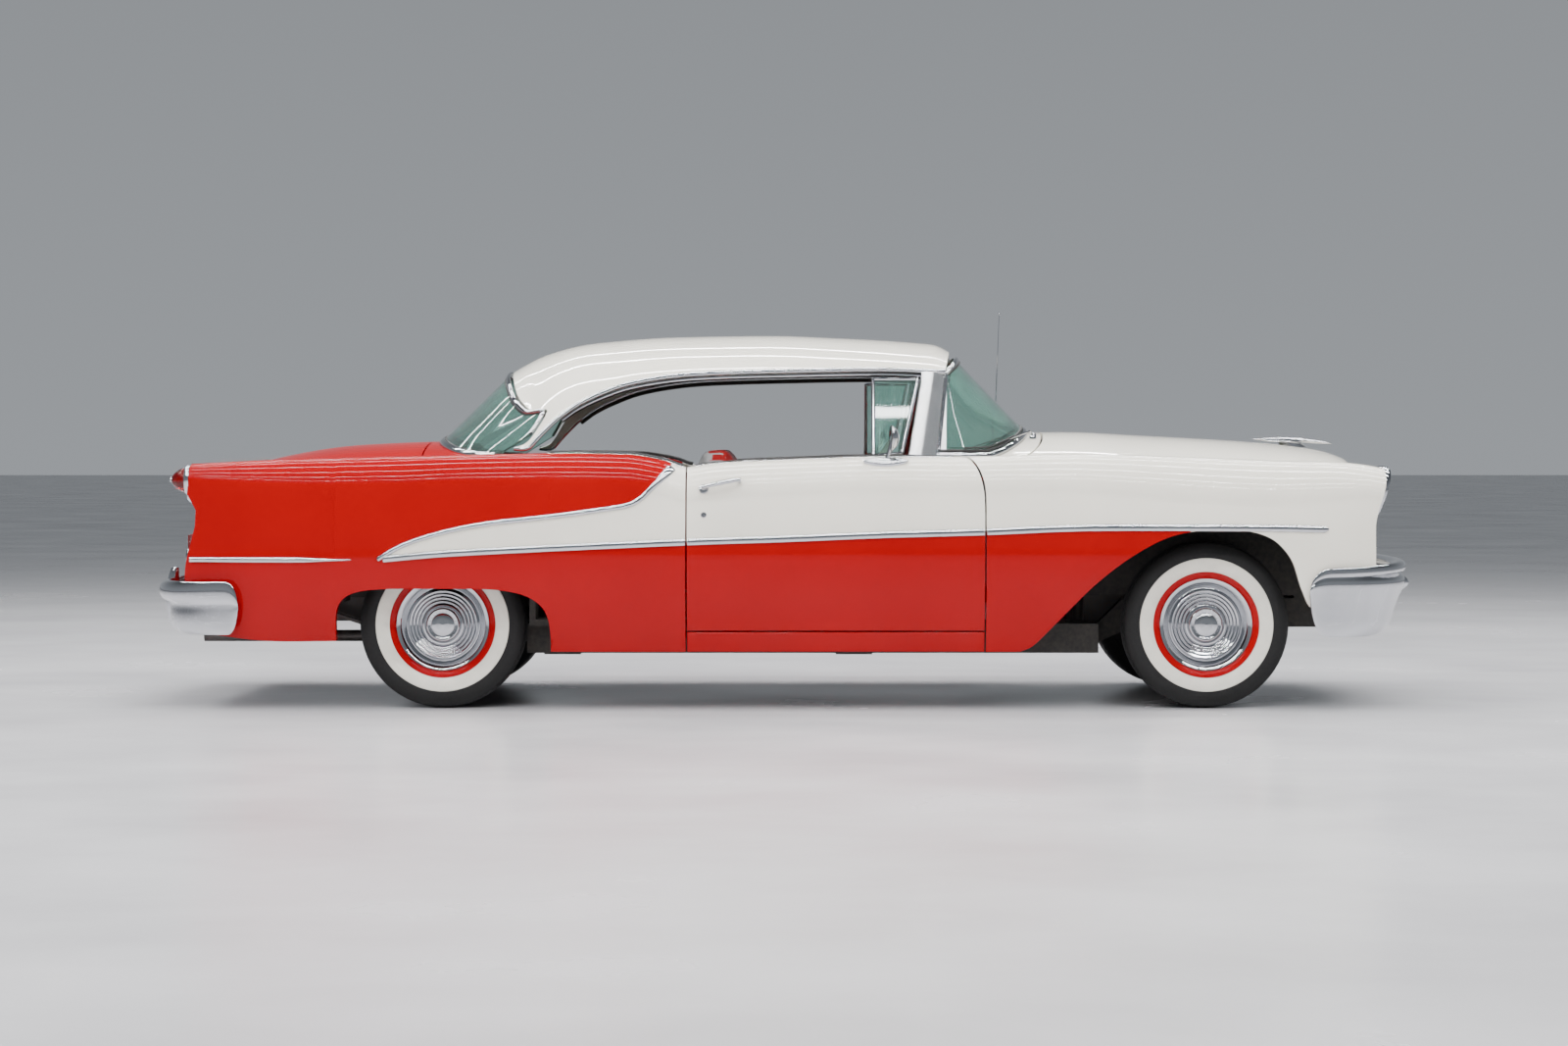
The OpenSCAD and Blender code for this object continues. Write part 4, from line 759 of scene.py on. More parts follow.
def rocker(side, mir):
    xs = steps(DOOR_REAR + GAP, DOOR_FRONT, 40)
    hi = DOOR_BOTTOM - GAP
    outer = [[(x, -side_y(x, z), z) for z in steps(SILL, hi, 8)] + [(x, -INNER_HALF, hi)] for x in xs]
    inner = [[(x, -INNER_HALF, z) for z in steps(SILL, hi - 20, 8)] + [(x, -INNER_HALF, hi - 10)]
             for x in xs]
    shell("rocker_skin_" + side, outer, inner, ["red"], "car_body", mirror=mir, bevel=3.0,
          stands_for=["rocker_panels"] if side == "right" else [])


both(rocker)


# ---------------------------------------------------------------- mouldings that follow the side
def moulding(name, pts, width, height, body, mir, mat="chrome", sides=9, lift=0.0):
    """Half-round strip on the side along (x, z) points; width is a number or a function of 0..1."""
    n = len(pts)
    verts = []
    for i, (x, z) in enumerate(pts):
        a, b = pts[max(i - 1, 0)], pts[min(i + 1, n - 1)]
        nrm = side_normal(x, z)
        tan = Vector((b[0] - a[0], -(surf_y(*b) - surf_y(*a)), b[1] - a[1])).normalized()
        acr = tan.cross(nrm).normalized()
        base = Vector((x, -surf_y(x, z), z)) + nrm * lift
        s = i / (n - 1)
        w = width(s) if callable(width) else width
        h = height * min(1.0, w / 16)
        for k in range(sides):
            ang = math.pi * k / (sides - 1)
            verts.append(base + acr * (w / 2 * math.cos(ang)) + nrm * (h * math.sin(ang) ** 0.7 - 1.5))
        verts.append(base - nrm * 3)
    m = sides + 1
    return make(name, verts, grid_faces(n, m, wrap_v=True) + caps(n, m), [mat], body, mirror=mir,
                smooth_angle=50)


def curve_pts(keys, x0, x1, step=18):
    n = max(int(abs(x1 - x0) / step), 2)
    return [(x, curve_at(keys, x)) for x in steps(x0, x1, n)]


def side_trim(side, mir):
    d = f"door_{side}_body"
    moulding("trim_quarter_" + side, curve_pts(TRIM, -1610, DOOR_REAR - 1), 30, 11, "car_body", mir)
    moulding("trim_door_" + side, curve_pts(TRIM, DOOR_REAR + GAP + 2, DOOR_FRONT - 2), 30, 11, d, mir)
    moulding("trim_fender_" + side, curve_pts(TRIM, DOOR_FRONT + GAP + 2, 2190), lambda s: 30 * min(1,
            (1 - s) * 60 + 0.35), 11, "car_body", mir)
    keys = [(s, p[0]) for s, p in enumerate(SWEEP)], [(s, p[1]) for s, p in enumerate(SWEEP)]
    pts = [(curve_at(keys[0], t), curve_at(keys[1], t)) for t in steps(0, len(SWEEP) - 1, 110)]
    moulding("sweep_trim_" + side, pts, lambda s: mix(20, 24, s) + 16 * smooth((s - 0.86) / 0.14), 11,
             "car_body", mir)
    moulding("rear_spear_" + side, [(x, 607) for x in steps(-2396, -1738, 40)],
             lambda s: 24 * min(1, (1 - s) * 3 + 0.12), 11, "car_body", mir)


both(side_trim)


# ---------------------------------------------------------------- hood, cowl, deck, lid, tail
def hood_point(u, s):
    y = s * HOOD_HALF
    x = mix(cowl_edge_x(y) + GAP, HOOD_NOSE - 60 * abs(s) ** 2.2, u)
    return (x, y, top_z(x, y) - 30 * clamp01((u - 0.955) / 0.045) ** 2)


CROSS = sorted({round(s * v, 4) for s in (-1, 1) for v in [0, 0.06, 0.12, 0.2, 0.28, 0.36, 0.45, 0.54, 0.62,
                                                           0.7, 0.77, 0.83, 0.88, 0.92, 0.95, 0.975, 0.99,
                                                           1]})
us = steps(0, 0.9, 42) + steps(0.915, 1, 9)
grid = [[hood_point(u, s) for s in CROSS] for u in us]
under = [[(p[0] - (22 if p[0] > HOOD_NOSE - 70 else 0), p[1], p[2] - LID_T) for p in r] for r in grid]
shell("hood_skin", grid, under, ["ivory", "dark"], "hood_body", inner_mat=1, stands_for=["hood"], bevel=3.0)
for j, s in enumerate((-0.55, 0.55)):
    rows = [[(hood_point(u, s + d)[0], hood_point(u, s + d)[1], hood_point(u, s + d)[2] - LID_T - h)
             for d, h in ((-0.07, -2), (-0.05, 14), (0.05, 14), (0.07, -2))] for u in steps(0.05, 0.9, 20)]
    loft(f"hood_rib_{j}", rows, ["dark"], "hood_body", bevel=2.0)

WS_T = [math.copysign(abs(v) ** 0.8, v) * 0.97 for v in steps(-1, 1, 48)]
grid = []
for t in WS_T:
    b = ws_base(t)
    e = (cowl_edge_x(b[1] * 1.04) - 3, b[1] * 1.04)
    grid.append([(p[0], p[1], top_z(*p)) for p in [(mix(b[0] - 20, e[0], k), mix(b[1], e[1], k))
                                                   for k in steps(0, 1, 8)]])
shell("cowl_skin", grid, [[(p[0], p[1], p[2] - 20) for p in r] for r in grid], ["ivory"], "car_body",
      stands_for=["cowl"], bevel=1.5)
FLOOR_Z, FIREWALL_X, FLOOR_HALF, TUNNEL_HALF = 335.3, XF - 833, INNER_HALF - 6, 150


def prism_faces(n):
    return [tuple(range(n)), tuple(range(n, 2 * n))] + [(i, (i + 1) % n, n + (i + 1) % n, n + i)
                                                        for i in range(n)]


def prism_x(name, outline, x0, x1, mats, body, **kw):
    verts = [(x, y, z) for x in (x0, x1) for y, z in outline]
    return make(name, verts, prism_faces(len(outline)), mats, body, **kw)


def prism_y(name, outline, y0, y1, mats, body, **kw):
    verts = [(x, y, z) for y in (y0, y1) for x, z in outline]
    return make(name, verts, prism_faces(len(outline)), mats, body, **kw)


def box(name, x, y, z, mats, body, **kw):
    return prism_x(name, [(y[0], z[0]), (y[1], z[0]), (y[1], z[1]), (y[0], z[1])], x[0], x[1], mats, body,
                   **kw)


prism_x("firewall", [(-700, FLOOR_Z), (-150, FLOOR_Z), (-150, 415), (150, 415), (150, FLOOR_Z),
                     (700, FLOOR_Z), (700, 996), (-700, 996)], FIREWALL_X, FIREWALL_X + 20, ["under"],
        "car_body", bevel=2.0)


def cowl_side(side, mir):
    box("kick_block_" + side, (DOOR_FRONT + GAP, FIREWALL_X + 20), (-FLOOR_HALF, -699),
        (FLOOR_Z + 25.3, BELT - 60), ["vinyl_grey"], "car_body", mirror=mir, bevel=3.0)
    box("dogleg_beam_" + side, (XF - 1200, FIREWALL_X - 8), (-FLOOR_HALF + 4, -745), (BELT - 80, BELT - 35),
        ["dark"], "car_body", mirror=mir, bevel=3.0)
    for k, z in enumerate((DOOR_BOTTOM + 110, BELT - 230)):
        box(f"hinge_leaf_{side}_{k}", (DOOR_FRONT + 1, DOOR_FRONT + 40),
            (-INNER_HALF - 58, -INNER_HALF + 20), (z, z + 60), ["steel"], "car_body", mirror=mir, bevel=2.0)
    rows = []
    for k in steps(0, 1, 14):
        c = (mix(XF - 1183, XF - 1122, k), -mix(766, 633, k), mix(BELT - 34.7, BELT + 352.45, k))
        rows.append([(c[0] + 24 * math.cos(a) * (1 + 0.1 * math.cos(a)), c[1] + 19 * math.sin(a), c[2])
                     for a in angles(16)])
    loft("a_pillar_" + side, rows, ["chrome"], "car_body", mirror=mir)


both(cowl_side)

BASE_V = steps(-1, 1, 56)
grid = []
for v in BASE_V:
    a, b = base_xy(v), (LID_FRONT, v * (LID_HALF + GAP - 0.3))
    grid.append([(p[0], p[1], deck_z(*p)) for p in [(mix(a[0], b[0], t), mix(a[1], b[1], t))
                                                    for t in steps(0, 1, 14)]])
shell("deck_skin", grid, [[(p[0], p[1], p[2] - 22) for p in r] for r in grid], ["red"], "car_body",
      stands_for=["rear_deck"], bevel=2.0)
box("parcel_shelf", (LID_FRONT + 2, SEATBACK_X - 70), (-LID_HALF + 14, LID_HALF - 14),
    (BELT - 58, BELT - 36), ["cloth"], "car_body", bevel=4.0)
lid_is = steps(0, 9, 72)
shell("lid_skin", [[lid_point(i, s, 0) for s in CROSS] for i in lid_is],
      [[lid_point(i, s, LID_T) for s in CROSS] for i in lid_is], ["red", "dark"], "trunk_lid_body",
      inner_mat=1, stands_for=["trunk_lid"], bevel=3.0)


def tail_wall_x(z):
    return TAIL_X + tail_edge(z)


def inside_y(x, z, t):
    zs = crown_z(x) - shoulder_h(x)
    h = shoulder_h(x) - t
    ys = side_y(x, min(z, zs)) - t
    return ys if z < zs else ys - (shoulder_w(x) - t) * (1 - math.sqrt(max(1 - ((z - zs) / h) ** 2, 0)))


zs = steps(300, BELT - 425, 16)
outer = [[(tail_wall_x(z) + 4, y * (inside_y(TAIL_X, z, QUARTER_T) - 1.25), z) for y in steps(-1, 1, 20)]
         for z in zs]
shell("tail_skin", outer, [[(p[0] + 24, p[1], p[2]) for p in r] for r in outer], ["red"], "car_body",
      stands_for=["tail_panel"], bevel=2.0)
slope_z = quarter_edge_z(TAIL_X) - QUARTER_T - 6
top_tail = crown_z(TAIL_X) - QUARTER_T - 8


def tail_side(side, mir):
    rows = []
    for z in steps(BELT - 425, top_tail - 12, 24):
        w = inside_y(TAIL_X, z, QUARTER_T) - 1.25
        v = mix(LID_HALF + GAP, crown_y(TAIL_X) + 8, clamp01((z - slope_z) / (top_tail - slope_z)))
        rows.append([(tail_wall_x(z) + 4, y, z) for y in steps(-w, -v, 8)])
    shell("tail_corner_" + side, rows, [[(p[0] + 24, p[1], p[2]) for p in r] for r in rows], ["red"],
          "car_body", mirror=mir, bevel=1.5)


both(tail_side)


# ---------------------------------------------------------------- roof and glass
def roof_xs(v, u):
    return mix(XR + curve_at(ROOF_END, abs(v)), roof_front_x(v), u)


ROOF_V = sorted({round(s * v, 4) for s in (-1, 1) for v in steps(0, 0.8, 14) + steps(0.82, 0.94, 6)
                 + [0.95, 0.96, 0.97, 0.98, 0.987, 0.993, 1]})
us = steps(0, 0.1, 7) + steps(0.125, 0.92, 36) + steps(0.94, 1, 6)
shell("roof_skin", [[roof_point(roof_xs(v, u), v, 0) for u in us] for v in ROOF_V],
      [[tuple(c - (3 if k == 2 and abs(v) > 0.96 else 0) for k,
              c in enumerate(roof_point(roof_xs(v, u), v, ROOF_T))) for u in us] for v in ROOF_V],
      ["ivory", "headliner"], "car_body", inner_mat=1, stands_for=["roof"], bevel=3.0)

grid = [[ws_point(t, k, 0) for k in steps(0, 1, 10)] for t in WS_T]
shell("windshield_glass", grid, [[ws_point(t, k, 8) for k in steps(0, 1, 10)] for t in WS_T], ["glass"],
      "car_body", stands_for=["windshield"])


def strip(name, path, normals, width, thick, mats, body, n=8, **kw):
    """Oval-backed strip: sits on path with outward normals, width across."""
    pts = [Vector(p) for p in path]
    verts = []
    m = len(pts)
    for i, p in enumerate(pts):
        t = (pts[min(i + 1, m - 1)] - pts[max(i - 1, 0)]).normalized()
        nr = Vector(normals[i]).normalized()
        nr = (nr - t * nr.dot(t)).normalized()
        a = t.cross(nr).normalized()
        w = width(i / (m - 1)) if callable(width) else width
        for k in range(n):
            g = math.pi * k / (n - 1)
            verts.append(p + a * (w / 2 * math.cos(g)) + nr * (thick * math.sin(g) ** 0.6))
        verts.append(p - nr * 4)
    return make(name, verts, grid_faces(m, n + 1, wrap_v=True) + caps(m, n + 1), mats, body,
                smooth_angle=50, **kw)


def ws_normal(t):
    return (math.cos(math.radians(90 * t)), math.sin(math.radians(90 * t)), 0.55)


fine_t = [math.copysign(abs(v) ** 0.8, v) * 0.97 for v in steps(-1, 1, 90)]
strip("windshield_base_trim", [ws_point(t, 0.03, -1) for t in fine_t], [ws_normal(t) for t in fine_t], 24,
      9, ["chrome"], "car_body")
strip("windshield_head_trim", [ws_point(t, 0.985, -1) for t in fine_t], [ws_normal(t) for t in fine_t], 22,
      9, ["chrome"], "car_body")
tube("windshield_base_seal", [ws_point(t, 0.075, 0) for t in fine_t], 7, ["seal"], "car_body", sides=8)
tube("windshield_head_seal", [ws_point(t, 0.95, 0) for t in fine_t], 7, ["seal"], "car_body", sides=8)
for sd, f in (("right", -1), ("left", 1)):
    strip("windshield_side_trim_" + sd, [ws_point(0.97 * f, k, -1) for k in steps(0, 1, 20)],
          [ws_normal(0.97 * f)] * 21, 26, 8, ["chrome"], "car_body")


def pillar_cover(side, mir):
    """Bright cover from the front pillar to the edge of the curved glass."""
    outer = []
    for k in steps(0, 1, 30):
        c = (mix(XF - 1183, XF - 1122, k), -mix(766, 633, k), mix(BELT - 20, BELT + 350, k))
        g = ws_point(-0.97, mix(-0.02, 1, k), -3)
        e = ws_point(-0.925, mix(-0.02, 1, k), -3)
        bulge = lambda p, d: (p[0], p[1] - d, p[2])
        a, b = (c[0] - 27, c[1] - 12, c[2]), (c[0] + 20, c[1] - 21, c[2])
        row = [(c[0] - 27, c[1] + 4, c[2]), a, (c[0] - 14, c[1] - 21, c[2]), b]
        for j in (0.2, 0.4, 0.6, 0.8, 1.0):
            row.append(bulge(tuple(mix(b[i], g[i], j) for i in range(3)), 5 * math.sin(math.pi * j)))
        row += [tuple(mix(g[i], e[i], 0.5) for i in range(3)), e]
        outer.append(row)
    inner = [[(p[0], p[1] + 7, p[2]) for p in r] for r in outer]
    shell("pillar_cover_" + side, outer, inner, ["satin"], "car_body", mirror=mir, bevel=1.5,
          smooth_angle=55)


both(pillar_cover)


def rear_pt(v, k, d):
    a = base_xy(v)
    x = XR + curve_at(ROOF_END, abs(v))
    p = roof_point(x, v, 6)
    q = (a[0] + 4, a[1] * 0.985, deck_z(*a) - 0.3)
    return (mix(q[0], p[0] - 12.3, k), mix(q[1], p[1], k) - d * v, mix(q[2], p[2] - 2.1, k) - d)


rv = [v * 0.968 for v in steps(-1, 1, 60)]
shell("rear_glass", [[rear_pt(v, k, 0) for k in steps(0, 1, 12)] for v in rv],
      [[rear_pt(v, k, 8) for k in steps(0, 1, 12)] for v in rv], ["glass"], "car_body",
      stands_for=["rear_window"])


def rear_normal(v):
    return (-0.75 * (1 - 0.5 * abs(v)), 0.9 * v ** 3, 0.75)


fine_v = [v * 0.968 for v in steps(-1, 1, 110)]
strip("rear_base_trim", [rear_pt(v, 0.03, -1) for v in fine_v], [rear_normal(v) for v in fine_v], 30, 9,
      ["chrome"], "car_body")
strip("rear_head_trim", [rear_pt(v, 0.975, -2) for v in fine_v], [rear_normal(v) for v in fine_v], 20, 9,
      ["chrome"], "car_body")
tube("rear_base_seal", [rear_pt(v, 0.07, 0) for v in fine_v], 6, ["seal"], "car_body", sides=8)
tube("rear_head_seal", [rear_pt(v, 0.94, 0) for v in fine_v], 6, ["seal"], "car_body", sides=8)


def drip(side, mir):
    xs = steps(XR + 288, roof_front_x(1) - 2, 110)
    path = [roof_point(x, -1, 0) for x in xs]
    path = [(p[0], p[1] - 1, p[2] - 2) for p in path]
    strip("drip_rail_" + side, path, [(0, -1, 0.1)] * len(path), 19, 9, ["chrome"], "car_body", mirror=mir)
    low = [(x, roof_point(x, -1, 0)[1] + 15, roof_point(x, -1, 0)[2] - 20) for x in xs[12:]]
    strip("window_head_trim_" + side, low, [(0, -1, 0)] * len(low), 15, 6, ["chrome"], "car_body",
          mirror=mir)
    inn = [(p[0], p[1] + 14, p[2] - 3) for p in low]
    tube("window_head_seal_" + side, inn, 9, ["seal"], "car_body", sides=8, mirror=mir)


both(drip)


# ---------------------------------------------------------------- door and quarter fittings
def fittings(side, mir):
    b = f"door_{side}_body"
    out = lambda x, z, d: tuple(Vector((x, -surf_y(x, z), z)) + side_normal(x, z) * d)
    turned("handle_base_" + side, [(20, 0), (20, 4), (17, 8), (9, 10), (0, 10)], out(-323, 892, -1),
           side_normal(-323, 892), ["chrome"], b, n=32, mirror=mir)
    turned("handle_stem_" + side, [(9, 0), (9, 26), (7, 30), (0, 31)], out(-323, 894, 0),
           side_normal(-323, 892), ["chrome"], b, n=24, mirror=mir)
    path = [out(mix(-323, -173, k), mix(894, 921, k), 27 + 8 * math.sin(math.pi * k))
            for k in steps(0, 1, 22)]
    tube("handle_bar_" + side, path, [7.5 + 2.5 * math.sin(math.pi * k) for k in steps(0, 1, 22)],
         ["chrome"], b, sides=14, mirror=mir)
    turned("handle_foot_" + side, [(7, 0), (7, 26), (0, 30)], out(-178, 919, 0), side_normal(-178, 919),
           ["chrome"], b, n=20, mirror=mir)
    turned("keyhole_" + side, [(12, 0), (12, 3), (9, 6), (4, 6.5), (3.5, 5), (0, 5)], out(-323, 788, -0.5),
           side_normal(-323, 788), ["chrome"], b, n=28, mirror=mir)
    # belt line: window slot seals and bright garnish along the top of the door
    xs = steps(DOOR_REAR + 40, DOOR_FRONT - 120, 60)
    top = lambda x: crown_z(x) - 3
    rim = [(x, -(crown_y(x) - 4), top(x)) for x in xs]
    strip("belt_trim_" + side, rim, [(0, -0.25, 1)] * len(rim), 16, 6, ["chrome"], b, mirror=mir)
    slot = [(x, -(crown_y(x) - 24), top(x) + 2) for x in xs]
    strip("window_slot_" + side, slot, [(0, 0, 1)] * len(slot), 15, 9, ["seal"], b, mirror=mir)
    qx = steps(-960, DOOR_REAR - 12, 40)
    slot = [(x, -(crown_y(x) - 26), crown_z(x) + 1) for x in qx]
    strip("quarter_slot_" + side, slot, [(0, 0, 1)] * len(slot), 16, 11, ["seal"], "car_body", mirror=mir)
    rim = [(x, -(crown_y(x) - 8), crown_z(x) - 3) for x in qx]
    strip("quarter_belt_trim_" + side, rim, [(0, -0.25, 1)] * len(rim), 14, 6, ["chrome"], "car_body",
          mirror=mir)
    # vent window frame and glass, all on the door
    y_at = lambda z: -mix(762, 668, (z - 1020) / 322)
    tube("vent_post_" + side, [(x, y_at(z), z) for x, z in [(365, mix(1022, 1340, k))
                                                            for k in steps(0, 1, 8)]], 8.5, ["chrome"], b,
         sides=12, mirror=mir)
    front = [(mix(480, 548, k), mix(1036, 1338, k)) for k in steps(0, 1, 10)]
    tube("vent_front_" + side, [(x, y_at(z), z) for x, z in front], 8, ["chrome"], b, sides=12, mirror=mir)
    tube("vent_head_" + side, [(mix(365, 548, k), y_at(1339), 1339) for k in steps(0, 1, 6)], 7, ["chrome"],
         b, sides=10, mirror=mir)
    tube("vent_sill_" + side, [(mix(365, 482, k), y_at(1030), mix(1026, 1036, k)) for k in steps(0, 1, 6)],
         8, ["chrome"], b, sides=10, mirror=mir)
    quad = [(368, 1032), (478, 1038), (543, 1334), (368, 1334)]
    verts = [(x, y_at(z) + d, z) for d in (-2.5, 2.5) for x, z in quad]
    make("vent_glass_" + side, verts, prism_faces(4), ["glass"], b,
         mirror=mir)
    # door mirror
    def shoulder(x, deg):
        a, h, w = math.radians(deg), shoulder_h(x), shoulder_w(x)
        zs = crown_z(x) - h
        return (x, -(side_y(x, zs) - w * (1 - math.cos(a))), zs + h * math.sin(a))

    base = [shoulder(mix(320, 500, k), 58) for k in steps(0, 1, 16)]
    strip("mirror_foot_" + side, base, [(0, -0.75, 0.66)] * 17, lambda s: 8
          + 40 * math.sin(math.pi * s) ** 0.7, 15, ["chrome"], b, mirror=mir)
    foot = shoulder(412, 60)
    head = (438, foot[1] - 6, crown_z(414) + 76)
    tube("mirror_stem_" + side, [tuple(mix(foot[i], head[i], k) for i in range(3)) for k in steps(0, 1, 8)],
         [9 - 3 * k for k in steps(0, 1, 8)], ["chrome"], b, sides=12, mirror=mir)
    turned("mirror_head_" + side, [(0, 26), (20, 24), (38, 14), (50, 0), (52, -6), (49, -8), (46, -6),
                                   (0, -6)], head, (1, 0.12, 0), ["chrome"], b, n=40, mirror=mir)
    # panel inside: door card with armrest, pleats and winder
    xs = steps(DOOR_REAR + 60, DOOR_FRONT - 60, 90)
    rows = []
    for i, x in enumerate(xs):
        d = 3 * abs(math.sin(math.pi * i / 5))
        rows.append([(x, -INNER_HALF + 3 + d, z) for z in (430, 560, 640)])
    back = [[(p[0], -INNER_HALF - 3, p[2]) for p in r] for r in rows]
    shell("door_card_pleats_" + side, rows, back, ["cloth"], b, mirror=mir, smooth_angle=60)
    arm = [(x, z) for x, z in ((-40, 690), (330, 700), (345, 720), (330, 742), (-30, 736), (-52, 712))]
    prism_y("armrest_" + side, arm, -INNER_HALF - 2, -INNER_HALF + 58, ["vinyl_red"], b, mirror=mir,
            bevel=14.0, segments=4)
    turned("winder_hub_" + side, [(26, 0), (26, 4), (10, 9), (8, 20), (0, 21)], (430, -INNER_HALF, 800),
           (0, 1, 0), ["chrome"], b, n=28, mirror=mir)
    tube("winder_arm_" + side, [(430 - 12 * k, -INNER_HALF + 20 + 8 * k, 800 - 92 * k)
                                for k in steps(0, 1, 8)], 6, ["chrome"], b, sides=10, mirror=mir)


both(fittings)


# ---------------------------------------------------------------- bumpers, grille, lamps
def smooth_section(pts, n=4):
    """Catmull-Rom through a closed outline."""
    out = []
    m = len(pts)
    for i in range(m):
        p0, p1, p2, p3 = pts[i - 1], pts[i], pts[(i + 1) % m], pts[(i + 2) % m]
        for k in range(n):
            t = k / n
            out.append(tuple(0.5 * (2 * p1[c] + (p2[c] - p0[c]) * t + (2 * p0[c] - 5 * p1[c] + 4 * p2[c]
                    - p3[c]) * t * t + (3 * p1[c] - p0[c] - 3 * p2[c] + p3[c]) * t ** 3) for c in (0, 1)))
    return out


def wrap_bar(name, section, x0, x1, half, n, mats, body, zm, ends, count=140, drop=1.0, **kw):
    rows = []
    turns = set(steps(-math.pi / 2, math.pi / 2, count))
    for v in steps(0, 0.5, 40):
        turns |= {math.acos(v ** (1 / n)), -math.acos(v ** (1 / n))}
    turns = sorted(turns)
    turns = [turns[0]] + [b for a, b in zip(turns, turns[1:]) if b - a > 1e-5]
    for a in turns:
        c, s = pw(max(math.cos(a), 0), n), sgn(a) * pw(math.sin(abs(a)), n)
        t = clamp01(abs(x1 - x0) * c / ends)
        g = max(math.sqrt(1 - (1 - t) ** 2), 0.12)
        up = mix(drop, 1, c ** 2)
        rows.append([(x0 + (x1 - sgn(x1 - x0) * p[0] - x0) * c, (half - 0.12 * p[0]) * s,
                      zm + (p[1] - zm) * g * (up if p[1] > zm else 1)) for p in section])
    return loft(name, rows, mats, body, **kw)


front_section = smooth_section([(20, 600), (4, 590), (-1, 574), (6, 560), (30, 556), (22, 546), (6, 532),
                                (2, 512), (10, 488), (34, 440), (52, 395), (74, 334), (104, 303),
                                (127, 298), (127, 312), (98, 345), (76, 395), (60, 440), (44, 500),
                                (46, 545), (60, 580), (48, 598)])
wrap_bar("front_bumper_bar", front_section, XF + 400, X_FRONT, HW - 2, 0.55, ["chrome"], "car_body", 480,
         90, drop=0.76, stands_for=["front_bumper"], smooth_angle=60)
rear_section = smooth_section([(44, 520), (16, 513), (0, 492), (0, 462), (14, 444), (38, 432), (46, 424),
                               (46, 380), (50, 350), (66, 320), (96, 306), (110, 309), (104, 322),
                               (84, 336), (72, 360), (72, 430), (52, 450), (36, 466), (34, 488), (46, 504)],
                              4)
wrap_bar("rear_bumper_bar", rear_section, X_REAR + 388, X_REAR, HW - 14, 0.5, ["chrome"], "car_body", 420,
         60, stands_for=["rear_bumper"], smooth_angle=60)


def bumper_parts(side, mir):
    # rounded pods near the ends of the front bumper, and guards at the rear
    pod = [(78 * math.sin(math.pi * (0.06 + 0.94 * k)) ** 0.62 * (1 - 0.18 * k), mix(-120, 150, k))
           for k in steps(0, 1, 30)]
    turned("bumper_pod_" + side, [(0, -120)] + pod + [(0, 150)], (X_FRONT - 158, -590, 508),
           (1, -0.12, -0.02), ["chrome"], "car_body", n=48, mirror=mir, smooth_angle=60)
    rows = []
    for k in steps(0, 1, 26):
        z = mix(312, 560, k)
        w = 30 * pw(math.sin(math.pi * (0.05 + 0.9 * k)), 0.45)
        d = 8 + 34 * pw(math.sin(math.pi * (0.04 + 0.92 * k)), 0.6)
        rows.append([(X_REAR + 50 - d * pw(math.cos(g), 0.8), -430 + w * math.sin(g), z)
                     for g in [math.pi * (j / 12 - 0.5) for j in range(13)]]
                    + [(X_REAR + 62, -430 + w * 0.7, z), (X_REAR + 62, -430 - w * 0.7, z)])
    loft("rear_guard_" + side, rows, ["chrome"], "car_body", mirror=mir, smooth_angle=50)
    box("front_bumper_arm_" + side, (XF + 640.3, X_FRONT - 100), (-422, -352), (352, 412), ["steel"],
        "car_body", mirror=mir, bevel=3.0)
    box("rear_bumper_arm_" + side, (X_REAR + 60, X_REAR + 229), (-540, -470), (456, 494), ["steel"],
        "car_body", mirror=mir, bevel=3.0)


both(bumper_parts)
box("front_plate_blank", (X_FRONT - 22, X_FRONT - 15), (-160, 160), (350, 500), ["chrome_dull"], "car_body",
    bevel=3.0)
box("rear_plate_blank", (X_REAR + 54, X_REAR + 61), (-160, 160), (522.3, 690), ["chrome_dull"], "car_body",
    bevel=3.0)
for k, (x, z, f) in enumerate(((X_FRONT - 15, 432, 1), (X_REAR + 54, 640, -1))):
    for j, y in enumerate((-89, 89)):
        turned(f"plate_bolt_{k}_{j}", [(9, 0), (9, 3), (5, 5), (0, 5)], (x, y, z), (f, 0, 0), ["chrome"],
               "car_body", n=20)

GX = XF + 700


def mouth(half, h, zc=773, n=96):
    return [(half * sgn(math.cos(a)) * pw(abs(math.cos(a)), 0.5),
             zc + h * sgn(math.sin(a)) * pw(abs(math.sin(a)), 0.7)) for a in [2 * math.pi * (i + 0.5) / n
            for i in range(n)]]


rows = []
for half, h, x in ((560, 161, GX - 24), (560, 161, GX + 4), (554, 156, GX + 14), (546, 148, GX + 17),
                   (538, 140, GX + 14), (530, 133, GX + 4), (528, 131, GX - 24)):
    rows.append([(x, y, z) for y, z in mouth(half, h)])
make("grille_ring", [p for r in rows for p in r], grid_faces(7, 96, wrap_v=True, wrap_u=True), ["chrome"],
     "car_body", stands_for=["grille"], smooth_angle=50)
rows = []
for k in steps(-1, 1, 60):
    r = 24 + 6 * math.cos(k * math.pi / 2)
    rows.append([(GX - 2 + 10 * (1 - k * k) + r * 0.8 * math.cos(a), 536 * k, 768 + r * math.sin(a))
                 for a in angles(20)])
loft("grille_bar", rows, ["chrome"], "car_body", smooth_angle=50)
for i in range(-8, 9):
    y = i * 62
    h = 128 * pw(1 - (abs(y) / 540) ** 4, 0.5)
    box(f"grille_fin_{i + 8}", (GX - 22, GX - 10), (y - 3, y + 3), (773 - h, 773 + h), ["chrome_dull"],
        "car_body", bevel=1.5)
# near-black sheet behind the fins: painted shade for the dark space behind the grille
box("grille_shade_sheet", (GX - 42, GX - 34), (-540, 540), (640, 925), ["dark"], "car_body")
box("grille_apron", (GX - 24, GX - 2), (-560, 560), (556, 616), ["ivory"], "car_body", bevel=6.0)
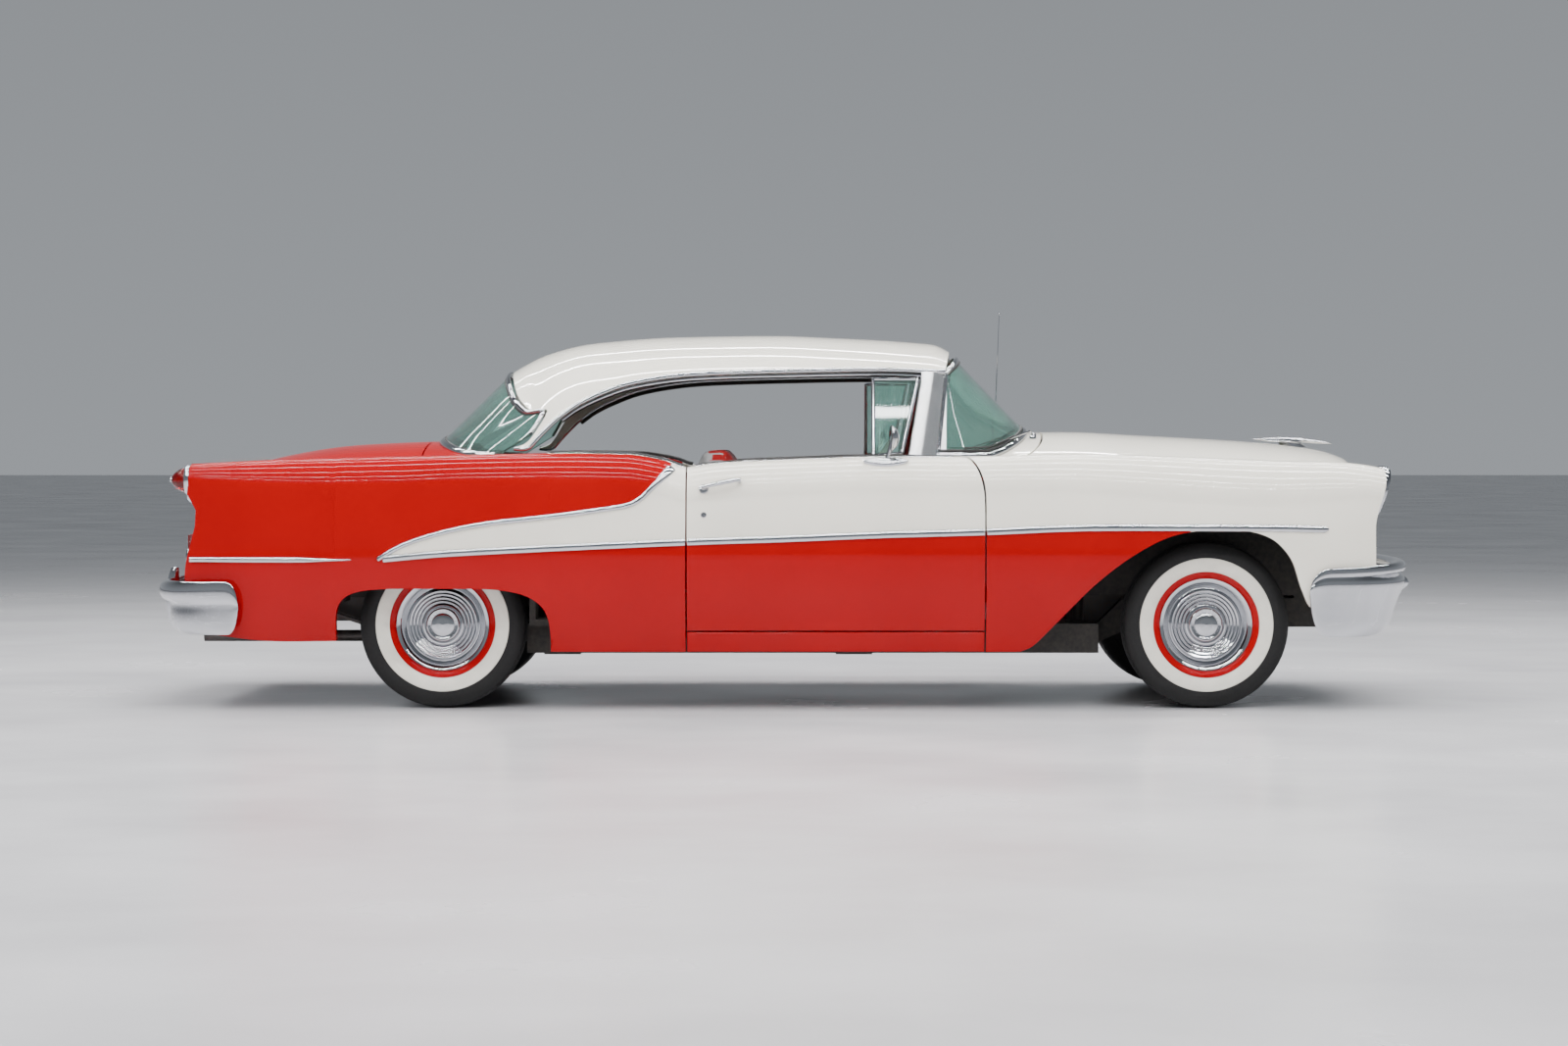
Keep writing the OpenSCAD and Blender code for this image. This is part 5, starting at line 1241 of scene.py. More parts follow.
# painted surround behind the ring, and the splash pan down to the bumper
rows = []
for k, (half, h, zc, e) in enumerate(((545, 148, 773, 0), (652, 192, 748, 0.12))):
    ring = mouth(half, h, zc) if not e else [(half * sgn(math.cos(a)) * pw(abs(math.cos(a)), e),
                                              zc + h * sgn(math.sin(a)) * pw(abs(math.sin(a)), e))
                                             for a in [2 * math.pi * (i + 0.5) / 96 for i in range(96)]]
    rows.append([(GX - 30 + 0.6 * nose_shift(z), y, z) for y, z in ring])
rows = [rows[0], [tuple(mix(a[i], b[i], 0.5) for i in range(3)) for a, b in zip(*rows)], rows[1]]
rows += [[(p[0] - 6, p[1], p[2]) for p in r] for r in reversed(rows)]
make("grille_surround", [p for r in rows for p in r], grid_faces(6, 96, wrap_v=True, wrap_u=True),
     ["ivory"], "car_body")
rows = []
for f in steps(-1, 1, 90):
    y = f * (HW - 78)
    sn = pw(min(abs(y) / (HW - 2), 1), 1 / 0.55)
    xb = XF + 400 + (X_FRONT - 62 - XF - 400) * pw(math.sqrt(max(1 - sn * sn, 0)), 0.55)
    rows.append([(mix(XF + 470, xb, k), y, 570 - 16 * k) for k in (0, 0.5, 1)])
shell("splash_pan", rows, [[(p[0], p[1], p[2] - 5) for p in r] for r in rows], ["ivory"], "car_body")
# rear wheelhouses' end walls, which close the trunk's sides
for end_name, end_y in (("right", (-925, -600)), ("left", (600, 925))):
    box("wheelhouse_end_" + end_name, (XR - 404, XR - 400.5), end_y, (432, 729), ["under"], "car_body")

# header over the grille, between the fenders, under the hood
rows = [[(GX - 12 - 34 * (abs(y) / 646) ** 2.2, y, z) for z in (900, 920, 934, 946)]
        for y in steps(-646, 646, 40)]
shell("grille_header", rows, [[(p[0] - 14, p[1], p[2]) for p in r] for r in rows], ["ivory"], "car_body",
      bevel=1.5)


def front_lamps(side, mir):
    x = FENDER_FRONT
    outer = column(x - 1, fender_low(x), HOOD_HALF + GAP, top_z(x, HOOD_HALF + GAP))
    loop = [(p[1], p[2]) for p in outer[::2]] + [(-646, 935), (-562, 900), (-560, 700), (-562, 640)]
    n = len(loop)
    cy, cz, r = -LAMP_Y, LAMP_Z, LAMP_R + 3
    hole = []
    for y, z in loop:
        a = math.atan2(z - cz, y - cy)
        hole.append((cy + r * math.cos(a), cz + r * math.sin(a)))
    verts = [(x - 10 + nose_shift(z), y, z) for y, z in loop] + [(x - 6 + nose_shift(h[1]), *h)
            for h in hole]
    verts += [(x - 24 + nose_shift(h[1]), *h) for h in hole] + [(x - 24 + nose_shift(z), y, z) for y,
            z in loop]
    faces = [(k * n + i, k * n + (i + 1) % n, ((k + 1) % 4) * n + (i + 1) % n, ((k + 1) % 4) * n + i)
             for k in range(4) for i in range(n)]
    make("fender_nose_" + side, verts, faces, ["ivory"], "car_body", mirror=mir, bevel=1.0)
    hood = lambda a: 12 + 12 * max(math.sin(a), 0) ** 1.5
    rows = []
    for i in range(64):
        a = 2 * math.pi * i / 64
        tip = hood(a)
        lean = nose_shift(cz + 100 * math.sin(a))
        rows.append([(x - 10 + d + lean, cy + rr * math.cos(a), cz + rr * math.sin(a)) for rr,
                     d in ((110, -6), (113, 8), (110, tip + 10), (102, tip + 20), (93, tip + 16), (87, 10),
                           (84, -4), (84, -18), (108, -18))])
    make("lamp_bezel_" + side, [p for r in rows for p in r], grid_faces(64, 9, wrap_u=True, wrap_v=True),
         ["chrome"], "car_body", mirror=mir, smooth_angle=50)
    prof = [(0.1, 22), (30, 20), (55, 14), (72, 5), (80, -6), (80, -9), (70, 0), (52, 9), (28, 15),
            (0.1, 17)]
    turned("headlamp_lens_" + side, prof, (x - 20, cy, cz), (1, 0, 0), ["clear"], "car_body",
           stands_for=["headlamps"] if not mir else [], mirror=mir)
    prof = [(82, -8), (78, -16), (62, -34), (36, -46), (8, -50), (0.1, -50), (0.1, -54), (40, -51),
            (70, -38), (86, -14), (86, -8)]
    turned("headlamp_bowl_" + side, prof, (x - 20, cy, cz), (1, 0, 0), ["chrome"], "car_body", mirror=mir)
    for k in range(-7, 8):
        hgt = 70 * math.sqrt(1 - (k * 10 / 80) ** 2)
        pts = [(x - 23 + 20 * (1 - ((k * 10) ** 2 + (v * hgt) ** 2) / 6400), cy + k * 10, cz + v * hgt)
               for v in steps(-1, 1, 12)]
        tube(f"lens_flute_{side}_{k + 7}", pts, 1.6, ["clear"], "car_body", sides=6, mirror=mir)
    # parking lamp under the headlamp
    rows = []
    for k in steps(0, 1, 16):
        w, h = 70 * pw(1 - k ** 3, 0.5), 34 * pw(1 - k ** 2.4, 0.5)
        rows.append([(x - 62 + 34 * k, -640 + max(w, 0.2) * math.cos(a), 660 + max(h, 0.2) * math.sin(a))
                     for a in angles(32)])
    make("parking_lamp_" + side, [p for r in rows for p in r], grid_faces(17, 32, wrap_v=True)
         + [tuple(range(32))], ["clear"], "car_body", mirror=mir)
    ring = [(x - 58, -640 + 78 * math.cos(a), 660 + 42 * math.sin(a))
            for a in [2 * math.pi * i / 48 for i in range(49)]]
    tube("parking_ring_" + side, ring, 8, ["chrome"], "car_body", sides=10, mirror=mir)


def rear_lamps(side, mir):
    x = TAIL_X
    c = (x, -TAIL_LAMP_Y, TAIL_LAMP_Z)
    prof = [(60, 0), (60, 12), (56, 18), (52, 20), (50, 14), (50, 0)]
    turned("tail_lamp_ring_" + side, prof, (x + 3, c[1], c[2]), (-1, 0, 0), ["chrome"], "car_body",
           closed=True, mirror=mir, stands_for=["tail_lamps"] if not mir else [])
    lens = [(51, 8)]
    for k in steps(0, 1, 30):
        base = 51 * pw(1 - k ** 1.7, 0.62)
        lens.append((max(base + (1.2 if int(k * 30) % 3 == 0 else 0), 0.1), 12 + 66 * k))
    turned("tail_lens_" + side, lens + [(0.1, 78)], (x + 3, c[1], c[2]), (-1, 0, 0), ["lens_red"],
           "car_body", mirror=mir, smooth_angle=60)
    turned("tail_lens_cap_" + side, [(9, 66), (9, 80), (5, 84), (0.1, 84)], (x + 3, c[1], c[2]), (-1, 0, 0),
           ["chrome"], "car_body", n=32, mirror=mir)
    rows = []
    for k in steps(0, 1, 24):
        z = mix(826, 990, k)
        reach = 62 * pw(math.sin(math.pi * (0.08 + 0.84 * k)), 0.5)
        y0, y1 = -TAIL_LAMP_Y - reach, -TAIL_LAMP_Y + reach
        y0 = max(y0, -(inside_y(TAIL_X, z, 0) - 6))
        rows.append([(tail_wall_x(z) - 1, mix(y0, y1, j / 8), z) for j in range(9)])
    shell("tail_plate_" + side, rows, [[(p[0] + 12, p[1], p[2]) for p in r] for r in rows], ["chrome"],
          "car_body", mirror=mir, bevel=3.0)
    # reversing lamp
    turned("reverse_ring_" + side, [(38, 0), (38, 16), (33, 24), (28, 22), (28, 0)],
           (tail_wall_x(610) + 8, -800, 612), (-1, 0, 0), ["chrome"], "car_body", closed=True, mirror=mir,
           n=48)
    turned("reverse_lens_" + side, [(29, 8), (28, 20), (18, 28), (0.1, 31)],
           (tail_wall_x(610) + 8, -800, 612), (-1, 0, 0), ["clear"], "car_body", mirror=mir, n=40)


both(front_lamps)
both(rear_lamps)


# ---------------------------------------------------------------- wheels and tyres
def wheel_body(tag):
    """wheel_fr for front_right, and so on."""
    return "wheel_" + tag[0] + ("r" if "right" in tag else "l")


def tyre(tag, x, track, mir):
    w = TYRE_W / 2
    half = [(194, -60), (200, -72), (212, -86), (214, -84.5), (232, -94), (250, -w), (268, -w + 0.2),
            (271, -w + 3), (286, -w + 2), (302, -w + 5), (317, -w + 12), (326, -w + 20), (329, -w + 23)]
    tread = [-68, -63, -57, -52, -47, -42, -40.5, -34.5, -33, -24, -20, -18.5, -12.5, -11, -4, 4]
    groove = {-40.5, -34.5, -18.5, -12.5}
    prof = [(r, h, 0) for r, h in half]
    for h in tread + [-t for t in reversed(tread[:-2])]:
        cut = abs(h) in {abs(g) for g in groove}
        r = TYRE_R - 0.0011 * h * h - (7 if cut else 0)
        prof.append((r, h, 1 if abs(h) < 50 else 2))
    prof += [(r, -h, 0) for r, h in reversed(half)]
    n = 216
    verts = []
    for k in range(n):
        a = 2 * math.pi * k / n
        zig = 2.4 if (k // 2) % 2 else -2.4
        for r, h, kind in prof:
            hh = h + (zig if kind == 1 else 0)
            rr = r - (4.5 if kind == 2 and abs(h) > 55 and k % 3 == 0 else 0)
            verts.append((x + rr * math.cos(a), -track / 2 - hh, TYRE_R + rr * math.sin(a)))
    m = len(prof)
    faces = grid_faces(n, m, wrap_u=True, wrap_v=True)
    fm = []
    for f in faces:
        j = f[0] % m
        r, h = (prof[j][0] + prof[(j + 1) % m][0]) / 2, (prof[j][1] + prof[(j + 1) % m][1]) / 2
        fm.append(1 if h > 0 and 213 < r < 270 else 0)
    make("tyre_tread_" + tag, verts, faces, ["rubber", "whitewall"], wheel_body(tag),
         fm, stands_for=["tyre_" + tag], mirror=mir, smooth_angle=40)


def wheel(tag, x, track, mir):
    body = wheel_body(tag)
    c = (x, -track / 2, TYRE_R)
    ax = (0, -1, 0)
    # stamped cover: rolled lip, dish with ridges, raised centre
    ridges = []
    for i in range(25):
        r = mix(136, 80, i / 24)
        ridges.append((r, mix(50, 57, i / 24) + 2.6 * math.cos(2 * math.pi * i / 6)))
    rim_lip = [(184, 62), (189, 68), (190, 74), (187, 78), (180, 77), (172, 70), (160, 58), (152, 47),
               (149, 44), (145, 45), (141, 50)]
    hub = [(76, 60), (72, 66), (67, 73), (62, 76), (56, 75), (52, 72), (47, 72), (46, 77), (42, 80),
           (24, 82), (0.1, 83)]
    prof = rim_lip + ridges + hub
    turned("wheel_cover_" + tag, prof + [(0.1, 66), (60, 60), (150, 36), (180, 56)], c, ax, ["chrome"],
           body, n=120, mirror=mir, stands_for=["wheel_" + tag], smooth_angle=40)
    turned("rim_ring_" + tag, [(188, 70), (190, 79), (196, 84), (206, 88), (213, 89), (215, 86), (212, 78),
                               (196, 68)], c, ax, ["red"], body, n=120, closed=True, mirror=mir,
           smooth_angle=40)
    turned("rim_barrel_" + tag, [(190, 66), (174, 56), (168, 30), (166, -60), (172, -66), (190, -72),
                                 (200, -84), (210, -86), (211, -82), (200, -76), (192, -66), (192, 60)], c,
           ax, ["steel"], body, n=96, closed=True, mirror=mir)
    turned("brake_drum_" + tag, [(26, -20), (60, -20), (62, -32), (138, -34), (143, -30), (146, -6),
                                 (150, -4), (150, 0), (140, 20), (90, 28), (26, 28)], c, ax, ["under"],
           body, n=72, closed=True, mirror=mir)
    turned("wheel_disc_" + tag, [(26, 28), (90, 34), (130, 30), (170, 20), (170, 14), (130, 24), (90, 28),
                                 (26, 22)], c, ax, ["steel"], body, n=72, closed=True, mirror=mir)
    # short spokes pressed round the raised centre
    vs, fs = [], []
    for i in range(24):
        a = 2 * math.pi * i / 24
        u = Vector((math.cos(a), 0, math.sin(a)))
        t = Vector((-math.sin(a), 0, math.cos(a)))
        o = Vector(c)
        b = len(vs)
        for r, wd, h in ((48, 2.4, 70), (48, 1.2, 75), (62, 1.6, 77.5), (62, 3.2, 72)):
            for sg in (-1, 1):
                vs.append(o + u * r + t * (wd * sg) + Vector((0, -h, 0)))
        fs += [(b, b + 1, b + 3, b + 2), (b + 2, b + 3, b + 5, b + 4), (b + 4, b + 5, b + 7, b + 6),
               (b, b + 2, b + 4, b + 6), (b + 1, b + 3, b + 5, b + 7), (b, b + 1, b + 7, b + 6)]
    make("cover_flutes_" + tag, vs, fs, ["chrome"], body, mirror=mir)


for tag, x, track in (("front_right", XF, FRONT_TRACK), ("front_left", XF, FRONT_TRACK),
                      ("rear_right", XR, REAR_TRACK), ("rear_left", XR, REAR_TRACK)):
    tyre(tag, x, track, "left" in tag)
    wheel(tag, x, track, "left" in tag)


# ---------------------------------------------------------------- cabin
def cushion_form(name, x, y, z, lean=None):
    """Closed crowned pad in a box; lean is (pivot, degrees) about Y."""
    bm = bmesh.new()
    bmesh.ops.create_cube(bm, size=2.0)
    bmesh.ops.subdivide_edges(bm, edges=bm.edges, cuts=15, use_grid_fill=True)
    cx, cy, cz = (x[0] + x[1]) / 2, (y[0] + y[1]) / 2, (z[0] + z[1]) / 2
    hx, hy, hz = (x[1] - x[0]) / 2, (y[1] - y[0]) / 2, (z[1] - z[0]) / 2
    for v in bm.verts:
        p = v.co.copy()
        # rounded box: blend towards a superellipsoid
        e = 5.0
        m = (abs(p.x) ** e + abs(p.y) ** (e * 2) + abs(p.z) ** e) ** (1 / e)
        q = p / max(m, 1e-6)
        s = max(abs(p.x), abs(p.y), abs(p.z))
        q = q * s
        v.co = Vector((cx + q.x * hx, cy + q.y * hy, cz + q.z * hz)) / 1000
    me = bpy.data.meshes.new(name)
    bm.to_mesh(me)
    bm.free()
    o = bpy.data.objects.new(name, me)
    bpy.context.scene.collection.objects.link(o)
    if lean:
        piv = Vector(lean[0]) / 1000
        rot = Matrix.Rotation(math.radians(lean[1]), 4, "Y")
        me.transform(Matrix.Translation(piv) @ rot @ Matrix.Translation(-piv))
    return o


def puff(objs, cap=0.014):
    """Cloth pressure swells each form a little; the result is written back to its mesh."""
    sc = bpy.context.scene
    before = {}
    for o in objs:
        r = o.modifiers.new("remesh", "REMESH")
        r.mode = "VOXEL"
        r.voxel_size = 0.016
        dg = bpy.context.evaluated_depsgraph_get()
        me = bpy.data.meshes.new_from_object(o.evaluated_get(dg))
        o.modifiers.clear()
        o.data = me
        before[o.name] = [v.co.copy() for v in me.vertices]
        c = o.modifiers.new("cloth", "CLOTH")
        c.settings.use_pressure = True
        c.settings.uniform_pressure_force = 4.0
        c.settings.effector_weights.gravity = 0
        c.settings.quality = 5
        c.settings.tension_stiffness = 40
        c.settings.bending_stiffness = 4
        c.point_cache.frame_start = 1
        c.point_cache.frame_end = 14
    for f in range(1, 15):
        sc.frame_set(f)
    dg = bpy.context.evaluated_depsgraph_get()
    for o in objs:
        ev = o.evaluated_get(dg)
        pts = [v.co.copy() for v in ev.data.vertices]
        o.modifiers.clear()
        for v, p, q in zip(o.data.vertices, pts, before[o.name]):
            d = p - q
            v.co = q + (d if d.length <= cap else d * (cap / d.length))
    sc.frame_set(1)


def plateau(v, low, high, ease):
    """1 between low and high, falling to 0 over ease inside each end."""
    return clamp01((v - low) / ease) * clamp01((high - v) / ease)


def channels(o, half, face, reach, pitch=62, depth=9):
    """Sewn grooves across a pad from -half to half in Y, on the side that the face vector points to."""
    me = o.data
    f = Vector(face).normalized()
    bm = bmesh.new()
    bm.from_mesh(me)
    long_edges = [e for e in bm.edges if e.calc_length() > 0.009]
    bmesh.ops.subdivide_edges(bm, edges=long_edges, cuts=1, use_grid_fill=True)
    bm.normal_update()
    for v in bm.verts:
        t = v.co.y * 1000
        if -half < t < half:
            w = clamp01((v.normal.dot(f) - 0.35) / 0.4)
            edge = min(1, (t + half) / 25, (half - t) / 25)
            u = abs(math.sin(math.pi * (t + half) / pitch))
            g = 1 - min(u / 0.42, 1)
            v.co -= f * (depth / 1000 * (g ** 1.5) * w * max(edge, 0) * reach(v.co * 1000))
    bm.to_mesh(me)
    bm.free()


WHEEL_X, WHEEL_Y, WHEEL_Z = XF - 1330, 370, BELT - 70
front_c = cushion_form("front_seat_cushion", (-255, 335), (-676, 676), (452, 612))
front_b = cushion_form("front_seat_back", (-312, -170), (-664, 664), (566, 1062), ((-250, 0, 560), -5))
rear_c = cushion_form("rear_seat_cushion", (SEATBACK_X + 40, SEATBACK_X + 548), (-734, 734), (452, 572))
rear_b = cushion_form("rear_seat_back", (SEATBACK_X - 10, SEATBACK_X + 98), (-734, 734), (545, 1000),
                      ((SEATBACK_X + 60, 0, 560), -9))
puff([front_c, front_b, rear_c, rear_b])
channels(front_c, 560, (0, 0, 1), lambda p: plateau(p.x, -215, 265, 40))
channels(front_b, 560, (1, 0, 0.15), lambda p: plateau(p.z, 600, 985, 30))
channels(rear_c, 600, (0, 0, 1), lambda p: plateau(p.x, SEATBACK_X + 110, SEATBACK_X + 500, 40))
channels(rear_b, 600, (1, 0, 0.15), lambda p: plateau(p.z, 590, 935, 30))


def seat_finish(o, node, inset, face):
    """Grey woven centre, red vinyl frame, grey vinyl ends and back."""
    me = o.data
    for key in ("cloth", "vinyl_red", "vinyl_grey"):
        me.materials.append(M[key])
    f = Vector(face).normalized()
    for p in me.polygons:
        c = p.center * 1000
        facing = p.normal.dot(f)
        front = facing > -0.1 and abs(p.normal.y) < 0.6
        centre = inset(c) and facing > 0.3
        p.material_index = (0 if centre else 1) if front else 2
    me.shade_smooth()
    s = o.modifiers.new("soft", "SUBSURF")
    s.levels = s.render_levels = 1 if len(me.polygons) < 12000 else 0
    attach(o, "car_body")
    if node:
        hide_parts(node)


seat_finish(front_c, "front_seat", lambda c: abs(c.y) < 562 and -215 < c.x < 268, (0, 0, 1))
seat_finish(front_b, None, lambda c: abs(c.y) < 562 and 596 < c.z < 990, (1, 0, 0.15))
seat_finish(rear_c, "rear_seat", lambda c: abs(c.y) < 602 and SEATBACK_X + 108 < c.x < SEATBACK_X + 505,
            (0, 0, 1))
seat_finish(rear_b, None, lambda c: abs(c.y) < 602 and 586 < c.z < 940, (1, 0, 0.15))


def seat_side(side, mir):
    box("seat_plinth_" + side, (-150, 290), (-600, -220), (360.6, 452), ["dark"], "car_body", mirror=mir,
        bevel=4.0)
    box("rear_seat_plinth_" + side, (SEATBACK_X + 60, SEATBACK_X + 500), (-700, -220), (360.6, 452),
        ["dark"], "car_body", mirror=mir, bevel=4.0)
    out = [(-262, 470), (310, 470), (318, 560), (296, 580), (-200, 588), (-262, 560)]
    prism_y("seat_valance_" + side, out, -678, -668, ["chrome_dull"], "car_body", mirror=mir, bevel=3.0)


both(seat_side)

# dashboard: padded roll, painted face, plain dials, glove box, radio place left bare
FX = FIREWALL_X
roll = [(FX - 0.3, BELT - 30), (FX - 60, BELT + 26), (XF - 1010, BELT + 30), (XF - 1062, BELT + 24),
        (XF - 1082, BELT + 12), (XF - 1090, BELT - 6), (XF - 1086, BELT - 22), (XF - 1070, BELT - 30),
        (XF - 1060, BELT - 32)]
prism_y("dash_roll", roll + [(XF - 1040, BELT - 45)], -590, 590, ["vinyl_red"], "car_body",
        stands_for=["dashboard"], bevel=4.0, segments=3)
face = [(FX - 0.3, BELT - 34), (XF - 1064, BELT - 34), (XF - 1096, BELT - 70), (XF - 1104, BELT - 110),
        (XF - 1090, BELT - 186), (XF - 1060, BELT - 190), (FX - 0.3, BELT - 190)]
prism_y("dash_face", face, -590, 590, ["dash_red"], "car_body", bevel=6.0, segments=3)


def dash_end(side, mir):
    prism_y("dash_end_" + side, [(FX - 0.3, BELT - 68), (XF - 1096, BELT - 68), (XF - 1086, BELT - 186),
                                 (FX - 0.3, BELT - 190)], -690, -590.5, ["dash_red"], "car_body",
            mirror=mir, bevel=6.0)


both(dash_end)
tube("dash_trim", [(XF - 1101, y, BELT - 78) for y in steps(-580, 580, 20)], 5, ["chrome"], "car_body",
     sides=10)
for i, (y, r) in enumerate(((370, 62), (228, 36), (508, 36), (90, 28), (-60, 28))):
    c = (XF - 1098, y, BELT - 118)
    turned(f"dial_rim_{i}", [(r + 7, 0), (r + 7, 8), (r + 2, 12), (r - 1, 8), (r - 1, 0)], c,
           (-1, 0, -0.18), ["chrome"], "car_body", closed=True)
    turned(f"dial_face_{i}", [(r, 3), (0.1, 3.5), (0.1, 1), (r, 1)], c, (-1, 0, -0.18), ["dial"],
           "car_body", closed=False)
    turned(f"dial_glass_{i}", [(r, 6), (r * 0.6, 8), (0.1, 8.6), (0.1, 7.4), (r * 0.6, 6.8), (r, 5)], c,
           (-1, 0, -0.18), ["clear"], "car_body")
    vs, fs = [], []
    for k in range(11):
        a = math.radians(-210 + 24 * k)
        b0 = len(vs)
        for rr in (r * 0.72, r * 0.92):
            for w in (-1.1, 1.1):
                vs.append((c[0] - 4.6, c[1] + rr * math.cos(a) - w * math.sin(a), c[2] + rr * math.sin(a)
                           + w * math.cos(a)))
        fs.append((b0, b0 + 1, b0 + 3, b0 + 2))
    make(f"dial_ticks_{i}", vs, fs, ["whitewall"], "car_body", slot="dash_plastic")
    tube(f"dial_needle_{i}", [(c[0] - 5.5, c[1], c[2]), (c[0] - 5.5, c[1] + r * 0.7, c[2] + r * 0.25)],
         [2, 0.6], ["lens_red"], "car_body", sides=6)
box("glove_box_door", (XF - 1106, XF - 1096), (-520, -240), (BELT - 172, BELT - 92), ["dash_red"],
    "car_body", bevel=5.0)
turned("glove_box_knob", [(9, 0), (7, 10), (11, 16), (8, 20), (0.1, 21)], (XF - 1105, -380, BELT - 104),
       (-1, 0, 0), ["chrome"], "car_body", n=28)
for k, y in enumerate((-170, -130, 150, 290, 450)):
    turned(f"dash_knob_{k}", [(6, 0), (6, 14), (11, 16), (12, 22), (9, 27), (0.1, 28)],
           (XF - 1094, y, BELT - 172), (-1, 0, 0), ["chrome"], "car_body", n=28)

# steering column and wheel
ca = math.radians(32)
AX = Vector((math.cos(ca), 0, -math.sin(ca)))
WC = Vector((WHEEL_X, WHEEL_Y, WHEEL_Z))
up = Vector((math.sin(ca), 0, math.cos(ca)))
side_v = Vector((0, 1, 0))
p0 = WC + AX * 60
p1 = WC + AX * ((FIREWALL_X - WHEEL_X) / math.cos(ca) - 20)
tube("column_jacket", [tuple(p0 + (p1 - p0) * k) for k in steps(0, 1, 10)], [27] * 11, ["dash_red"],
     "car_body", sides=28)
tube("gear_lever", [tuple(WC + AX * 75), tuple(WC + AX * 70 - side_v * 60 + up * 20),
                    tuple(WC + AX * 50 - side_v * 150 + up * 50)], [6, 5, 5], ["chrome"], "car_body",
     sides=10)
tube("turn_lever", [tuple(WC + AX * 75), tuple(WC + AX * 62 + side_v * 120 + up * 30)], [4.5, 4],
     ["chrome"], "car_body", sides=10)
n, m, R0, r0 = 120, 16, 204, 11
vs = []
for i in range(n):
    a = 2 * math.pi * i / n
    d = side_v * math.cos(a) + up * math.sin(a)
    rr = r0 - (1.6 if math.sin(a) < -0.2 and i % 4 == 0 else 0)
    for j in range(m):
        g = 2 * math.pi * j / m
        vs.append(tuple(WC + d * (R0 + rr * math.cos(g)) + AX * (rr * math.sin(g))))
make("steering_wheel_rim", vs, grid_faces(n, m, wrap_u=True, wrap_v=True), ["wheel_ivory"],
     "steering_wheel_body", stands_for=["steering_wheel"], smooth_angle=60)
turned("steering_hub", [(0.1, -6), (22, -4), (32, 2), (34, 10), (34, 34), (24, 40), (16, 44), (16, 170),
                        (0.1, 170)], WC, AX, ["wheel_ivory"], "steering_wheel_body", n=48)
turned("horn_button", [(0.1, -12), (14, -11), (22, -7), (24, -2), (24, 2)], WC, AX, ["chrome"],
       "steering_wheel_body", n=48)
for k, a in enumerate((10, 170)):
    d = side_v * math.cos(math.radians(a)) - up * math.sin(math.radians(a))
    tube(f"wheel_spoke_{k}", [tuple(WC + d * mix(24, 198, t) + AX * (14 * (1 - t) ** 2 + 2))
                              for t in steps(0, 1, 10)], [12 - 4 * t for t in steps(0, 1, 10)],
         ["wheel_ivory"], "steering_wheel_body", sides=12)
ring = [tuple(WC + (side_v * math.cos(a) + up * math.sin(a)) * 128 + AX * 4)
        for a in [math.radians(200 + 140 * k / 40) for k in range(41)]]
tube("horn_ring", ring, 4.5, ["chrome"], "steering_wheel_body", sides=10)
for k, a in enumerate((200, 340)):
    d = side_v * math.cos(math.radians(a)) + up * math.sin(math.radians(a))
    tube(f"horn_arm_{k}", [tuple(WC + d * mix(20, 128, t) + AX * 4) for t in steps(0, 1, 4)], 4, ["chrome"],
         "steering_wheel_body", sides=10)

# carpets over the floor, and pedals
box("carpet_front_right", (SEATBACK_X + 560, FIREWALL_X - 30), (-FLOOR_HALF + 60, -TUNNEL_HALF - 26),
    (360, 367), ["carpet"], "car_body", bevel=3.0)
box("carpet_front_left", (SEATBACK_X + 560, FIREWALL_X - 30), (TUNNEL_HALF + 26, FLOOR_HALF - 60),
    (360, 367), ["carpet"], "car_body", bevel=3.0)
box("carpet_tunnel", (SEATBACK_X - 50, FIREWALL_X - 4), (-TUNNEL_HALF - 27, TUNNEL_HALF + 27), (439, 446),
    ["carpet"], "car_body", bevel=3.0)
for k, (y, w) in enumerate(((300, 26), (440, 22))):
    box(f"pedal_{k}", (FIREWALL_X - 110, FIREWALL_X - 96), (y - w, y + w), (430, 500), ["seal"], "car_body",
        bevel=4.0)
    tube(f"pedal_arm_{k}", [(FIREWALL_X - 100, y, 490), (FIREWALL_X - 70, y, 620),
                            (FIREWALL_X - 4, y, 700)], 6, ["steel"], "car_body", sides=8)
box("rear_mirror", (XF - 1010, XF - 1000), (-95, 95), (BELT + 262, BELT + 312), ["chrome"], "car_body",
    bevel=5.0)
tube("rear_mirror_stem", [(XF - 1002, 0, BELT + 300), (XF - 985, 0, BELT + 372)], 5, ["chrome"], "car_body",
     sides=8)


def visor(side, mir):
    out = [(XF - 1066, BELT + 366), (XF - 1190, BELT + 384), (XF - 1192, BELT + 392),
           (XF - 1064, BELT + 374)]
    prism_y("sun_visor_" + side, [(x, z - 14) for x, z in out], -520, -70, ["vinyl_grey"], "car_body",
            mirror=mir, bevel=3.0)


both(visor)

# ---------------------------------------------------------------- bright work on top
for sd, f in (("right", -1), ("left", 1)):
    base = ws_base(0.22 * f)
    o = Vector((base[0] + 34, base[1], top_z(base[0] + 34, base[1])))
    turned("wiper_pivot_" + sd, [(16, -4), (16, 4), (11, 14), (7, 22), (0.1, 23)], o, (0.35, 0, 1),
           ["chrome"], "car_body", n=32)
    a = Vector(ws_point(0.22 * f, 0.02, -16))
    b = Vector(ws_point(0.36 * f, 0.3, -14))
    b2 = Vector(ws_point(0.62 * f, 0.12, -14))
    tube("wiper_arm_" + sd, [tuple(o + Vector((-4, 0, 20))), tuple(o + Vector((-14, 34 * f, 30))),
                             tuple(b2)], [5, 4, 3], ["chrome"], "car_body", sides=8)
    blade = [ws_point(mix(0.36, 0.82, k) * f, 0.105 + 0.01 * math.sin(math.pi * k), -11)
             for k in steps(0, 1, 30)]
    tube("wiper_blade_" + sd, blade, 3.5, ["seal"], "car_body", sides=8)

